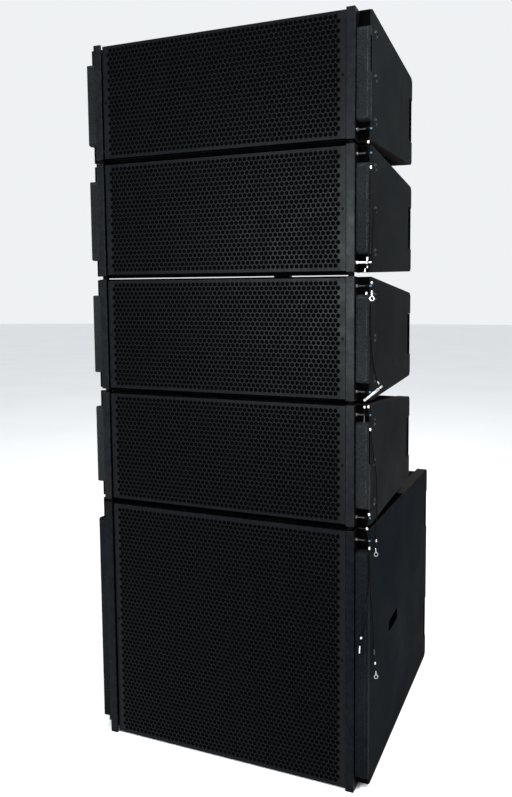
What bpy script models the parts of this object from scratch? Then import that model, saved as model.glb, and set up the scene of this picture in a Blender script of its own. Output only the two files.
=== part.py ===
"""Compact line array: four wedge shaped full range cabinets stacked on one subwoofer.

Frame: +X is the viewer's right seen from the front, +Y runs to the back, +Z is up.
The origin is the centre of the footprint, on the floor. Units are metres.
Cabinet levels count from the bottom: level 1 stands on the subwoofer, level 4 is the highest.
"""

import math

import bmesh
import bpy
from mathutils import Matrix

# ---- driving dimensions -------------------------------------------------------------------
LEVELS = 4
HALF_WIDTH = 0.2550  # outer face of a side cheek
TOP_HEIGHT = 0.1894  # full range cabinet, at its front rails
TOP_DEPTH = 0.2530
TOP_BACK_HEIGHT = 0.1564  # side cheek, at its rear edge
SUB_HEIGHT = 0.4260
SUB_DEPTH = 0.4080
GAP = 0.0062  # between two cabinets' rails
SUB_GAP = 0.0067  # between the subwoofer's rails and level 1

CHEEK_FRONT = 0.0165  # depth of the rigging notches' back wall behind the rail face
STRIP_FRONT = 0.0044  # the cheek's raised front strip, behind the rail face
STRIP_END = 0.0290  # from a cabinet's top or bottom to the strip
CORNER = 0.0090  # rounding of the cheek's rear corners
LIP = 0.0045  # how far a cheek stands proud of the boards between the cheeks
BOARD = 0.0120
SUB_CHEEK_BOTTOM = 0.0063
SUB_CHEEK_TOP = 0.4240
SUB_STRIP_BOTTOM = 0.0220
SUB_STRIP_TOP = 0.3930

RAIL_OUTER = 0.2345
RAIL_WIDTH = 0.0142
RAIL_DEPTH = 0.0245
RAIL_WALL = 0.0030
GRILLE_HALF_WIDTH = 0.2192
GRILLE_FRONT = 0.0015
GRILLE_SHEET = 0.0015
GRILLE_END = 0.0020  # grille to the rails' top and bottom
BAFFLE_FRONT = 0.0120
CLEAR = 0.0003  # running gap between touching pieces

PIN_DEPTH = 0.0077  # pin axis behind the rail face
PIN_END = 0.0145  # pin axis from a cabinet's top or bottom
PIN_RADIUS = 0.0031
PIN_HOLE = 0.0036
PIN_TIP_X = 0.2210
PIN_STEP_X = 0.2400  # the pin is thinner from here to its head
PIN_NECK_RADIUS = 0.0021
PIN_HEAD_X = 0.2495  # inner face of a quick release head
PIN_HEAD_RADIUS = 0.0036
PIN_BUTTON_RADIUS = 0.0024
PIN_END_X = 0.2590
LOW_HEAD_X = (0.2349, 0.2377)  # the left pins' flat heads
LOW_HEAD_RADIUS = 0.0040
LINK_X = (0.2225, 0.2305)  # the link bars run inside the rails
LINK_RADIUS = 0.0041

WOOFER_X = 0.1400
WOOFER_RADIUS = 0.0740
WOOFER_HOLE = 0.0662
WOOFER_Z = TOP_HEIGHT / 2
SUB_WOOFER_RADIUS = 0.1880
SUB_WOOFER_HOLE = 0.1762
WOOFER_STEPS = 18
SUB_WOOFER_STEPS = 28
HORN_HALF = (0.0560, 0.0720)  # half width and half height of the waveguide's flange

REAR_WALL = (0.2050, 0.2120)  # inner wall between the acoustic chamber and the rear bay
SUB_REAR_WALL = (0.3550, 0.3670)
REAR_LINK_Y = (0.2260, 0.2380)
REAR_LINK_HALF_WIDTH = 0.0165
REAR_SLOT_Y = (0.2220, 0.2420)
REAR_SLOT_HALF_WIDTH = 0.0175
REAR_LINK_TOP = 0.0120  # how far the link reaches past the upper cabinet's bottom board
REAR_LINK_FOOT = 0.0350  # and past the lower cabinet's top board

Z_AXIS_TO_X = Matrix(((0, 0, 1, 0), (1, 0, 0, 0), (0, 1, 0, 0), (0, 0, 0, 1)))
Z_AXIS_TO_MINUS_X = Matrix(((0, 0, -1, 0), (-1, 0, 0, 0), (0, 1, 0, 0), (0, 0, 0, 1)))
FRONT = Matrix.Rotation(math.radians(90), 4, "X")  # turns +Z to the front, -Y

PITCH = TOP_HEIGHT + GAP
FACE_Y = -SUB_DEPTH / 2  # the rail face in the row's frame
MID = TOP_HEIGHT / 2


def level_base(level):
    """Height of a full range cabinet's rail bottoms; level 1 is the lowest."""
    return SUB_HEIGHT + SUB_GAP + (level - 1) * PITCH


def clear_scene():
    for ob in list(bpy.data.objects):
        bpy.data.objects.remove(ob, do_unlink=True)


def collection(name):
    made = bpy.data.collections.new(name)
    bpy.context.scene.collection.children.link(made)
    return made


clear_scene()
PARTS = collection("line_array_speaker")
CUTTERS = collection("cutters")


def material(name, colour, roughness, metallic=0.0):
    made = bpy.data.materials.new(name)
    made.use_nodes = True
    shader = made.node_tree.nodes["Principled BSDF"]
    shader.inputs["Base Color"].default_value = (*colour, 1.0)
    shader.inputs["Roughness"].default_value = roughness
    shader.inputs["Metallic"].default_value = metallic
    return made


PAINT = material("textured_cabinet_paint", (0.030, 0.031, 0.034), 0.70)
GRILLE_PAINT = material("grille_powder_coat", (0.026, 0.027, 0.030), 0.55, 0.2)
RAIL_PAINT = material("rail_satin_paint", (0.036, 0.038, 0.042), 0.42, 0.3)
CONE = material("paper_cone", (0.012, 0.012, 0.013), 0.85)
HORN_PLASTIC = material("horn_plastic", (0.010, 0.010, 0.011), 0.45)
PANEL_PAINT = material("rear_panel_paint", (0.022, 0.022, 0.024), 0.50, 0.3)
LINK_STEEL = material("blackened_steel", (0.018, 0.018, 0.020), 0.45, 0.6)
PIN_STEEL = material("pin_steel", (0.55, 0.55, 0.56), 0.28, 1.0)
RUBBER = material("foot_rubber", (0.010, 0.010, 0.010), 0.90)


# ---- modelling helpers --------------------------------------------------------------------
def link_object(name, mesh, matrix=None, where=None):
    ob = bpy.data.objects.new(name, mesh)
    ob.matrix_world = matrix or Matrix.Identity(4)
    (where or CUTTERS).objects.link(ob)
    if where is None:
        ob.hide_render = True
        ob.display_type = "WIRE"
    return ob


def mesh_from_bmesh(name, bm):
    bmesh.ops.recalc_face_normals(bm, faces=bm.faces)
    mesh = bpy.data.meshes.new(name)
    bm.to_mesh(mesh)
    bm.free()
    return mesh


def box(name, low, high):
    """A box between two corners, in its own frame."""
    bm = bmesh.new()
    bmesh.ops.create_cube(bm, size=1.0)
    size = [b - a for a, b in zip(low, high)]
    centre = [(a + b) / 2 for a, b in zip(low, high)]
    bmesh.ops.scale(bm, vec=size, verts=bm.verts)
    bmesh.ops.translate(bm, vec=centre, verts=bm.verts)
    return link_object(name, mesh_from_bmesh(name, bm))


def tapered_box(name, low, high, back_scale):
    """A box whose rear face is scaled in X and Z about the box's centre line."""
    ob = box(name, low, high)
    centre_z = (low[2] + high[2]) / 2
    for vert in ob.data.vertices:
        if vert.co.y > (low[1] + high[1]) / 2:
            vert.co.x *= back_scale[0]
            vert.co.z = centre_z + (vert.co.z - centre_z) * back_scale[1]
    return ob


def cylinder(name, radius, length, matrix, segments=24):
    """A cylinder along its own Z, centred, placed by a matrix."""
    bm = bmesh.new()
    bmesh.ops.create_cone(
        bm,
        cap_ends=True,
        segments=segments,
        radius1=radius,
        radius2=radius,
        depth=length,
    )
    return link_object(name, mesh_from_bmesh(name, bm), matrix)


def baked_mesh(ob):
    """The object's evaluated mesh, in its own frame, and the object is removed."""
    depsgraph = bpy.context.evaluated_depsgraph_get()
    mesh = bpy.data.meshes.new_from_object(ob.evaluated_get(depsgraph))
    mesh.name = ob.name
    bpy.data.objects.remove(ob, do_unlink=True)
    return mesh


def outline_solid(name, points, start, end, turn):
    """A flat outline given thickness from start to end along the turned Z axis."""
    curve = bpy.data.curves.new(name, "CURVE")
    curve.dimensions = "2D"
    curve.fill_mode = "BOTH"
    curve.extrude = (end - start) / 2
    spline = curve.splines.new("POLY")
    spline.points.add(len(points) - 1)
    for point, (u, v) in zip(spline.points, points):
        point.co = (u, v, 0, 1)
    spline.use_cyclic_u = True
    mesh = baked_mesh(link_object(name, curve))
    bm = bmesh.new()
    bm.from_mesh(mesh)
    bmesh.ops.remove_doubles(bm, verts=bm.verts, dist=1e-5)
    bmesh.ops.transform(bm, matrix=Matrix.Translation((0, 0, (start + end) / 2)), verts=bm.verts)
    bmesh.ops.transform(bm, matrix=turn, verts=bm.verts)
    return link_object(name, mesh_from_bmesh(name, bm))


def arc(centre, radius, start_deg, end_deg, steps):
    """Points on a circle arc, both ends included."""
    turns = [math.radians(start_deg + (end_deg - start_deg) * i / steps) for i in range(steps + 1)]
    return [(centre[0] + radius * math.cos(a), centre[1] + radius * math.sin(a)) for a in turns]


def turned_mesh(name, profile, steps, turn):
    """A closed turned solid: the profile runs from its top on the axis down the outer side."""
    mesh = bpy.data.meshes.new(name)
    mesh.from_pydata(
        [(r, 0, z) for r, z in profile], [(i, i + 1) for i in range(len(profile) - 1)], []
    )
    ob = link_object(name, mesh)
    screw = ob.modifiers.new("Turn", "SCREW")
    screw.steps = steps
    screw.render_steps = steps
    screw.use_merge_vertices = True
    screw.merge_threshold = 1e-5
    made = baked_mesh(ob)
    made.transform(turn)
    return made


def combine(target, other, operation):
    """Adds an exact Boolean with another mesh object and returns the target."""
    modifier = target.modifiers.new(other.name, "BOOLEAN")
    modifier.operation = operation
    modifier.object = other
    modifier.solver = "EXACT"
    return target


def solved(ob):
    """Bakes a Boolean stack and removes the objects that it used."""
    used = [m.object for m in ob.modifiers if m.type == "BOOLEAN"]
    mesh = baked_mesh(ob)
    for other in used:
        bpy.data.objects.remove(other, do_unlink=True)
    return mesh


def place(name, mesh, look, location=(0, 0, 0), round_piece=False):
    """Puts a finished mesh into the model as one named part, in the row's frame."""
    if not mesh.materials:
        mesh.materials.append(look)
    if round_piece:
        mesh.shade_smooth()
        mesh.set_sharp_from_angle(angle=math.radians(35))
    x, y, z = location
    return link_object(name, mesh, Matrix.Translation((x, y + FACE_Y, z)), PARTS)


# ---- cabinet parts, in a frame with y = 0 at the rail face and z = 0 at the rail bottoms ----
def wedge_half_height(y):
    """Half the side cheek's height at a depth."""
    slope = (TOP_HEIGHT - TOP_BACK_HEIGHT) / 2 / (TOP_DEPTH - CHEEK_FRONT)
    return TOP_HEIGHT / 2 - slope * (y - CHEEK_FRONT)


def wedge_outline(front, back, inset):
    """The cabinet's side profile between two depths, drawn in by an inset."""
    a = wedge_half_height(front) - inset
    b = wedge_half_height(back) - inset
    return [(front, MID - a), (back, MID - b), (back, MID + b), (front, MID + a)]


def cheek_outline():
    """Side cheek of a full range cabinet, with its front strip and rounded rear corners."""
    back = wedge_half_height(TOP_DEPTH)
    low = arc((TOP_DEPTH - CORNER, MID - back + CORNER), CORNER, -86, 0, 4)
    high = arc((TOP_DEPTH - CORNER, MID + back - CORNER), CORNER, 0, 86, 4)
    return [
        (STRIP_FRONT, STRIP_END),
        (CHEEK_FRONT, STRIP_END),
        (CHEEK_FRONT, 0.0),
        *low,
        *high,
        (CHEEK_FRONT, TOP_HEIGHT),
        (CHEEK_FRONT, TOP_HEIGHT - STRIP_END),
        (STRIP_FRONT, TOP_HEIGHT - STRIP_END),
    ]


def sub_cheek_outline():
    low = arc((SUB_DEPTH - CORNER, SUB_CHEEK_BOTTOM + CORNER), CORNER, -90, 0, 4)
    high = arc((SUB_DEPTH - CORNER, SUB_CHEEK_TOP - CORNER), CORNER, 0, 90, 4)
    return [
        (STRIP_FRONT, SUB_STRIP_BOTTOM),
        (CHEEK_FRONT, SUB_STRIP_BOTTOM),
        (CHEEK_FRONT, SUB_CHEEK_BOTTOM),
        *low,
        *high,
        (CHEEK_FRONT, SUB_CHEEK_TOP),
        (CHEEK_FRONT, SUB_STRIP_TOP),
        (STRIP_FRONT, SUB_STRIP_TOP),
    ]


def add_cheeks(cabinet, outline):
    """Joins both side cheeks to the box between them."""
    inner = RAIL_OUTER + 0.0007
    sides = ((inner, HALF_WIDTH), (-HALF_WIDTH, -inner))
    for i, (start, end) in enumerate(sides):
        combine(cabinet, outline_solid(f"cheek_{i}", outline, start, end, Z_AXIS_TO_X), "UNION")


def cut_rail_seats(cabinet, height):
    """Makes room for the rail at each side of the box, before the cheeks are joined to it."""
    inner = RAIL_OUTER - RAIL_WIDTH - CLEAR
    outer = RAIL_OUTER + 0.0055
    for i, (a, b) in enumerate(((inner, outer), (-outer, -inner))):
        seat = box(f"rail_seat_{i}", (a, -0.01, -0.01), (b, RAIL_DEPTH + CLEAR, height + 0.01))
        combine(cabinet, seat, "DIFFERENCE")


def cut_side_details(cabinet, screw_free_slot, grips, depth):
    """The upright groove behind each front strip and the grip recesses in the rear edges."""
    low, high = screw_free_slot
    for side in (-1, 1):
        edges = sorted((side * (HALF_WIDTH - 0.006), side * (HALF_WIDTH + 0.002)))
        groove = box(f"groove_{side}", (edges[0], 0.0095, low), (edges[1], 0.0150, high))
        combine(cabinet, groove, "DIFFERENCE")
        edges = sorted((side * (HALF_WIDTH - 0.008), side * (HALF_WIDTH + 0.002)))
        for n, (bottom, top) in enumerate(grips):
            grip = box(
                f"grip_{side}_{n}", (edges[0], depth - 0.023, bottom), (edges[1], depth + 0.01, top)
            )
            combine(cabinet, grip, "DIFFERENCE")


def top_cabinet_mesh():
    """Wooden shell: cheeks, boards, baffle with driver cut-outs, and an open rear bay."""
    core = RAIL_OUTER + 0.0040
    bay = 0.2100
    cabinet = outline_solid(
        "top_cabinet", wedge_outline(BAFFLE_FRONT, TOP_DEPTH - 0.0005, LIP), -core, core, Z_AXIS_TO_X
    )
    cut_rail_seats(cabinet, TOP_HEIGHT)
    add_cheeks(cabinet, cheek_outline())
    chamber = wedge_outline(BAFFLE_FRONT + BOARD, REAR_WALL[0], LIP + BOARD)
    combine(
        cabinet,
        outline_solid("chamber", chamber, -0.2190, 0.2190, Z_AXIS_TO_X),
        "DIFFERENCE",
    )
    rear_bay = wedge_outline(REAR_WALL[1], TOP_DEPTH + 0.01, LIP + BOARD)
    combine(cabinet, outline_solid("rear_bay", rear_bay, -bay, bay, Z_AXIS_TO_X), "DIFFERENCE")
    for side in (-1, 1):
        place_hole = Matrix.Translation((side * WOOFER_X, BAFFLE_FRONT, WOOFER_Z)) @ FRONT
        cutout = cylinder(f"cutout_{side}", WOOFER_HOLE, 0.05, place_hole, WOOFER_STEPS)
        combine(cabinet, cutout, "DIFFERENCE")
    mouth = box("horn_cutout", (-0.0515, -0.01, MID - 0.0655), (0.0515, 0.03, MID + 0.0655))
    combine(cabinet, mouth, "DIFFERENCE")
    slot = box(
        "rear_slots",
        (-REAR_SLOT_HALF_WIDTH, REAR_SLOT_Y[0], -0.02),
        (REAR_SLOT_HALF_WIDTH, REAR_SLOT_Y[1], TOP_HEIGHT + 0.02),
    )
    combine(cabinet, slot, "DIFFERENCE")
    cut_side_details(cabinet, (0.0970, 0.1500), [(0.0580, 0.1340)], TOP_DEPTH)
    return solved(cabinet)


def sub_cabinet_mesh():
    """Wooden shell of the subwoofer, with a blind pocket for the lowest rear link."""
    core = RAIL_OUTER + 0.0040
    low = SUB_CHEEK_BOTTOM + LIP
    high = SUB_CHEEK_TOP - LIP
    cabinet = box("sub_cabinet", (-core, BAFFLE_FRONT, low), (core, SUB_DEPTH - 0.0005, high))
    cut_rail_seats(cabinet, SUB_HEIGHT)
    add_cheeks(cabinet, sub_cheek_outline())
    front = BAFFLE_FRONT + BOARD
    chamber = box(
        "sub_chamber", (-0.2190, front, low + BOARD), (0.2190, SUB_REAR_WALL[0], high - BOARD)
    )
    pocket_wall = box(
        "sub_pocket_wall", (-0.0245, 0.2140, SUB_HEIGHT - 0.0990), (0.0245, 0.2500, high - 0.0060)
    )
    combine(chamber, pocket_wall, "DIFFERENCE")
    hollow = link_object("sub_hollow", solved(chamber))
    combine(cabinet, hollow, "DIFFERENCE")
    bay = box(
        "sub_bay",
        (-0.2100, SUB_REAR_WALL[1], low + BOARD),
        (0.2100, SUB_DEPTH + 0.01, high - BOARD),
    )
    combine(cabinet, bay, "DIFFERENCE")
    place_hole = Matrix.Translation((0, BAFFLE_FRONT, sub_woofer_z())) @ FRONT
    cutout = cylinder("sub_cutout", SUB_WOOFER_HOLE, 0.05, place_hole, SUB_WOOFER_STEPS)
    combine(cabinet, cutout, "DIFFERENCE")
    pocket = box(
        "sub_pocket",
        (-REAR_SLOT_HALF_WIDTH, REAR_SLOT_Y[0], SUB_HEIGHT - 0.0910),
        (REAR_SLOT_HALF_WIDTH, REAR_SLOT_Y[1], SUB_HEIGHT + 0.02),
    )
    combine(cabinet, pocket, "DIFFERENCE")
    for side in (-1, 1):
        edges = sorted((side * (HALF_WIDTH - 0.0150), side * (HALF_WIDTH + 0.002)))
        handle = box(f"handle_{side}", (edges[0], 0.1240, 0.2050), (edges[1], 0.1770, 0.2250))
        combine(cabinet, handle, "DIFFERENCE")
    grips = [(0.0510, 0.1380), (0.2990, 0.3770)]
    cut_side_details(cabinet, (0.3440, 0.3860), grips, SUB_DEPTH)
    return solved(cabinet)


def sub_woofer_z():
    return (SUB_CHEEK_BOTTOM + SUB_CHEEK_TOP) / 2


def grille_mesh(name, height):
    """Grille sheet with its four edges folded back to the baffle."""
    wide = GRILLE_HALF_WIDTH
    back = BAFFLE_FRONT - CLEAR
    sheet = GRILLE_SHEET
    tray = box(name, (-wide, GRILLE_FRONT, GRILLE_END), (wide, back, height - GRILLE_END))
    inner = box(
        f"{name}_inside",
        (-wide + sheet, GRILLE_FRONT + sheet, GRILLE_END + sheet),
        (wide - sheet, back + 0.01, height - GRILLE_END - sheet),
    )
    combine(tray, inner, "DIFFERENCE")
    return solved(tray)


def rail_mesh(name, side, height, pin_heights):
    """Angle section rail with a hole for each front pin in its side flange."""
    inner = RAIL_OUTER - RAIL_WIDTH
    section = [
        (inner, 0.0),
        (RAIL_OUTER, 0.0),
        (RAIL_OUTER, RAIL_DEPTH),
        (RAIL_OUTER - RAIL_WALL, RAIL_DEPTH),
        (RAIL_OUTER - RAIL_WALL, RAIL_WALL),
        (inner, RAIL_WALL),
    ]
    points = [(side * x, y) for x, y in section]
    rail = outline_solid(name, points, 0.0, height, Matrix.Identity(4))
    for n, z in enumerate(pin_heights):
        middle = Matrix.Translation((side * (RAIL_OUTER - 0.002), PIN_DEPTH, z)) @ Z_AXIS_TO_X
        combine(rail, cylinder(f"{name}_hole_{n}", PIN_HOLE, 0.008, middle, 16), "DIFFERENCE")
    return solved(rail)


def woofer_mesh(name, radius, hole, depth, steps):
    """Cone driver: dust cap, cone, surround, mounting flange, basket and magnet."""
    flange = 0.0035
    basket = hole * math.cos(math.pi / steps) - CLEAR
    profile = [
        (0.0, -0.17 * radius),
        (0.27 * radius, -0.26 * radius),
        (0.77 * radius, -0.02 * radius),
        (0.83 * radius, flange * 0.9),
        (0.89 * radius, flange * 0.4),
        (radius, flange),
        (radius, CLEAR),
        (basket, CLEAR),
        (basket, -0.012),
        (0.60 * radius, -0.62 * depth),
        (0.60 * radius, -depth),
        (0.0, -depth),
    ]
    return turned_mesh(name, profile, steps, FRONT)


def horn_mesh():
    """Waveguide with a flange, a flared mouth and two compression drivers behind it."""
    wide, tall = HORN_HALF
    back = BAFFLE_FRONT - CLEAR
    horn = box("horn", (-wide, back - 0.0032, MID - tall), (wide, back, MID + tall))
    body = tapered_box(
        "horn_body", (-0.0500, back - 0.001, MID - 0.0640), (0.0500, 0.0780, MID + 0.0640), (0.4, 0.86)
    )
    combine(horn, body, "UNION")
    for n, z in enumerate((MID - 0.0295, MID + 0.0295)):
        middle = Matrix.Translation((0, 0.0950, z)) @ FRONT
        combine(horn, cylinder(f"driver_{n}", 0.0280, 0.0400, middle, 16), "UNION")
    flare = tapered_box(
        "horn_flare", (-0.0460, 0.0, MID - 0.0600), (0.0460, 0.0700, MID + 0.0600), (0.14, 0.8)
    )
    combine(horn, flare, "DIFFERENCE")
    return solved(horn)


def pin_profile(side):
    """Front pin as (radius, distance from the middle plane): push button on the right only."""
    if side < 0:
        return [
            (0.0, LOW_HEAD_X[1]),
            (LOW_HEAD_RADIUS, LOW_HEAD_X[1]),
            (LOW_HEAD_RADIUS, LOW_HEAD_X[0]),
            (PIN_RADIUS, LOW_HEAD_X[0]),
            (PIN_RADIUS, PIN_TIP_X),
            (0.0, PIN_TIP_X),
        ]
    return [
        (0.0, PIN_END_X),
        (PIN_BUTTON_RADIUS, PIN_END_X),
        (PIN_BUTTON_RADIUS, PIN_HEAD_X + 0.0035),
        (PIN_HEAD_RADIUS, PIN_HEAD_X + 0.0035),
        (PIN_HEAD_RADIUS, PIN_HEAD_X),
        (PIN_NECK_RADIUS, PIN_HEAD_X),
        (PIN_NECK_RADIUS, PIN_STEP_X),
        (PIN_RADIUS, PIN_STEP_X),
        (PIN_RADIUS, PIN_TIP_X),
        (0.0, PIN_TIP_X),
    ]


def pin_mesh(name, side):
    turn = Z_AXIS_TO_X if side > 0 else Z_AXIS_TO_MINUS_X
    return turned_mesh(name, pin_profile(side), 12, turn)


def front_link_mesh(name, side, reach):
    """Link bar with its lower pin; the origin is on the lower pin's axis."""
    low = arc((0.0, 0.0), LINK_RADIUS, 180, 360, 6)
    high = arc((0.0, reach), LINK_RADIUS, 0, 180, 6)
    start, end = sorted(side * x for x in LINK_X)
    link = outline_solid(name, [*low, *high], start, end, Z_AXIS_TO_X)
    middle = Matrix.Translation((side * sum(LINK_X) / 2, 0, reach)) @ Z_AXIS_TO_X
    combine(link, cylinder(f"{name}_hole", PIN_HOLE, 0.02, middle, 16), "DIFFERENCE")
    captive = link_object(f"{name}_pin", pin_mesh(f"{name}_pin", side))
    combine(link, captive, "UNION")
    return solved(link)


def rear_link_mesh(name, low, high):
    """Flat rear link bar with a pin hole near its upper end."""
    wide = REAR_LINK_HALF_WIDTH
    bar = box(name, (-wide, REAR_LINK_Y[0], low), (wide, REAR_LINK_Y[1], high))
    middle = Matrix.Translation((0, sum(REAR_LINK_Y) / 2, high - 0.0075)) @ FRONT
    combine(bar, cylinder(f"{name}_hole", PIN_HOLE, 0.03, middle, 16), "DIFFERENCE")
    return solved(bar)


def rear_panel_mesh(name, depth, low, high):
    """Flat connector panel that closes the rear bay."""
    panel = box(name, (-0.2095, depth - 0.0085, low), (0.2095, depth - 0.0055, high))
    return baked_mesh(panel)


def foot_mesh():
    height = SUB_CHEEK_BOTTOM + LIP - CLEAR
    profile = [(0.0, height), (0.0170, height), (0.0150, 0.0), (0.0, 0.0)]
    return turned_mesh("sub_foot", profile, 20, Matrix.Identity(4))


# ---- the assembly -------------------------------------------------------------------------
def build_sub():
    place("sub_cabinet", sub_cabinet_mesh(), PAINT)
    place("sub_grille", grille_mesh("sub_grille", SUB_HEIGHT), GRILLE_PAINT)
    for side, word in ((-1, "left"), (1, "right")):
        rail = rail_mesh(f"sub_rail_{word}", side, SUB_HEIGHT, [SUB_HEIGHT - PIN_END])
        place(f"sub_rail_{word}", rail, RAIL_PAINT)
    woofer = woofer_mesh("sub_woofer", SUB_WOOFER_RADIUS, SUB_WOOFER_HOLE, 0.15, SUB_WOOFER_STEPS)
    place("sub_woofer", woofer, CONE, (0, BAFFLE_FRONT, sub_woofer_z()), True)
    low = SUB_CHEEK_BOTTOM + LIP + BOARD + CLEAR
    high = SUB_CHEEK_TOP - LIP - BOARD - CLEAR
    place("sub_rear_panel", rear_panel_mesh("sub_rear_panel", SUB_DEPTH, low, high), PANEL_PAINT)
    foot = foot_mesh()
    for side, word in ((-1, "left"), (1, "right")):
        place(f"sub_foot_{word}", foot, RUBBER, (side * 0.1900, 0.3700, 0), True)


def build_tops():
    """Four alike cabinets with their drivers; the copies share their meshes."""
    cabinet = top_cabinet_mesh()
    grille = grille_mesh("top_grille", TOP_HEIGHT)
    horn = horn_mesh()
    woofer = woofer_mesh("top_woofer", WOOFER_RADIUS, WOOFER_HOLE, 0.075, WOOFER_STEPS)
    pins = [PIN_END, TOP_HEIGHT - PIN_END]
    rails = {
        word: rail_mesh(f"top_rail_{word}", side, TOP_HEIGHT, pins)
        for side, word in ((-1, "left"), (1, "right"))
    }
    back = wedge_half_height(TOP_DEPTH) - LIP - BOARD - CLEAR
    panel = rear_panel_mesh("top_rear_panel", TOP_DEPTH, MID - back, MID + back)
    for level in range(1, LEVELS + 1):
        base = level_base(level)
        prefix = f"top_{level}"
        place(f"{prefix}_cabinet", cabinet, PAINT, (0, 0, base))
        place(f"{prefix}_grille", grille, GRILLE_PAINT, (0, 0, base))
        place(f"{prefix}_horn", horn, HORN_PLASTIC, (0, 0, base))
        place(f"{prefix}_rear_panel", panel, PANEL_PAINT, (0, 0, base))
        for side, word in ((-1, "left"), (1, "right")):
            place(f"{prefix}_rail_{word}", rails[word], RAIL_PAINT, (0, 0, base))
            where = (side * WOOFER_X, BAFFLE_FRONT, base + WOOFER_Z)
            place(f"{prefix}_woofer_{word}", woofer, CONE, where, True)


def build_rigging():
    """Front links, removable front pins and rear links, one set under each level."""
    pins = {side: pin_mesh(f"front_pin_{side}", side) for side in (-1, 1)}
    board_bottom = MID - wedge_half_height(sum(REAR_LINK_Y) / 2) + LIP + BOARD
    for level in range(1, LEVELS + 1):
        base = level_base(level)
        gap = SUB_GAP if level == 1 else GAP
        lower = base - gap - PIN_END
        reach = base + PIN_END - lower
        for side, word in ((-1, "left"), (1, "right")):
            link = front_link_mesh(f"front_link_{word}_{level}", side, reach)
            place(f"front_link_{word}_{level}", link, LINK_STEEL, (0, PIN_DEPTH, lower))
            where = (0, PIN_DEPTH, base + PIN_END)
            place(f"front_pin_{word}_{level}", pins[side], PIN_STEEL, where, True)
        if level == 1:
            foot = SUB_CHEEK_TOP - LIP - BOARD - REAR_LINK_FOOT
        else:
            foot = base - PITCH + TOP_HEIGHT - board_bottom - REAR_LINK_FOOT
        head = base + board_bottom + REAR_LINK_TOP
        rear = rear_link_mesh(f"rear_link_{level}", foot, head)
        place(f"rear_link_{level}", rear, LINK_STEEL)


build_sub()
build_tops()
build_rigging()
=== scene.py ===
"""Compact line array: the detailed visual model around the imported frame.

Cabinet pieces are modelled in a cabinet's own coordinates: x = 0 on the centre line, y = 0 at
the front rails' face and z = 0 at the rails' lower ends. Units are metres.
"""

import math

import bmesh
import bpy
from mathutils import Matrix, Vector


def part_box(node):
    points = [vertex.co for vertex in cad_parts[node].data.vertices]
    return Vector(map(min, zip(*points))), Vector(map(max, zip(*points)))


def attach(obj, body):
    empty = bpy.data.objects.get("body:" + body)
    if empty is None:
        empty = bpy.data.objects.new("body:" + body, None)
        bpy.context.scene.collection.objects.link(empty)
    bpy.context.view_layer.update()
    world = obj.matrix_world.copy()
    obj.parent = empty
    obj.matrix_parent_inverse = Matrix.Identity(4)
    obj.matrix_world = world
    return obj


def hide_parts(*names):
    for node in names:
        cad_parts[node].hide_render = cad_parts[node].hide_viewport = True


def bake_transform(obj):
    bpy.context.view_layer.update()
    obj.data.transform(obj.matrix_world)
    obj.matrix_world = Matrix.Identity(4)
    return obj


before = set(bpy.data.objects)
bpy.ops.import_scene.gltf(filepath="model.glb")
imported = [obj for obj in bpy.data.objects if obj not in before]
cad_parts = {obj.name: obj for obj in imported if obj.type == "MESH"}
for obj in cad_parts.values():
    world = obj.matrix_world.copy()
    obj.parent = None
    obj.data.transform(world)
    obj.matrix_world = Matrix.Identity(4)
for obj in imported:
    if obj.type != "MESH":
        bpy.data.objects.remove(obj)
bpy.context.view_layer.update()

LEVELS = (1, 2, 3, 4)
SIDES = ((-1, "left"), (1, "right"))

RAIL_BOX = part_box("top_1_rail_right")
FACE_Y = RAIL_BOX[0][1]
TOP_HEIGHT = RAIL_BOX[1][2] - RAIL_BOX[0][2]
TOP_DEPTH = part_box("top_1_cabinet")[1][1] - FACE_Y
SUB_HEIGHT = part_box("sub_rail_right")[1][2]
SUB_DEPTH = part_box("sub_cabinet")[1][1] - FACE_Y
HALF_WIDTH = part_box("top_1_cabinet")[1][0]
RAIL_OUTER = RAIL_BOX[1][0]
RAIL_INNER = RAIL_BOX[0][0]
GRILLE_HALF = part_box("top_1_grille")[1][0]
MID = TOP_HEIGHT / 2

CHEEK_INNER = RAIL_OUTER + 0.0006
CHEEK_FRONT = 0.0165
STRIP_FRONT = 0.0044
STRIP_END = 0.0270
BACK_HEIGHT = 0.1564
LIP = 0.0020
BOARD = 0.0120
BAFFLE_FRONT = 0.0120
RAIL_DEPTH = 0.0245
PIN_Y = 0.0077
PIN_END = 0.0145
SUB_BOTTOM = 0.0063
SUB_TOP = 0.4262
SUB_TOP_DROP = 0.0060
RAIL_WALL = 0.0030
GRILLE_FRONT = 0.0034
GRILLE_END = 0.0020
WOOFER_X = 0.1400
SUB_MID = (SUB_BOTTOM + SUB_TOP) / 2
REAR_SLOT_LOW, REAR_SLOT_HIGH = (-0.0175, 0.2220), (0.0175, 0.2420)

# What the two kinds of cabinet have in different sizes. Spans are heights.
HEIGHT = {"top": TOP_HEIGHT, "sub": SUB_HEIGHT}
DEPTH = {"top": TOP_DEPTH, "sub": SUB_DEPTH}
STRIP_SPAN = {"top": (STRIP_END, TOP_HEIGHT - STRIP_END), "sub": (0.0220, 0.3930)}
SLOT_SPAN = {"top": (0.0970, 0.1500), "sub": (0.3440, 0.3860)}
GRIP_SPANS = {"top": [(0.0580, 0.1340)], "sub": [(0.0510, 0.1380), (0.2990, 0.3770)]}
GRILLE_ROWS = {"top": 25, "sub": 58}


def level_base(level):
    """Height of a full range cabinet's rail bottoms above the floor."""
    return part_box(f"top_{level}_rail_right")[0][2]


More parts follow.
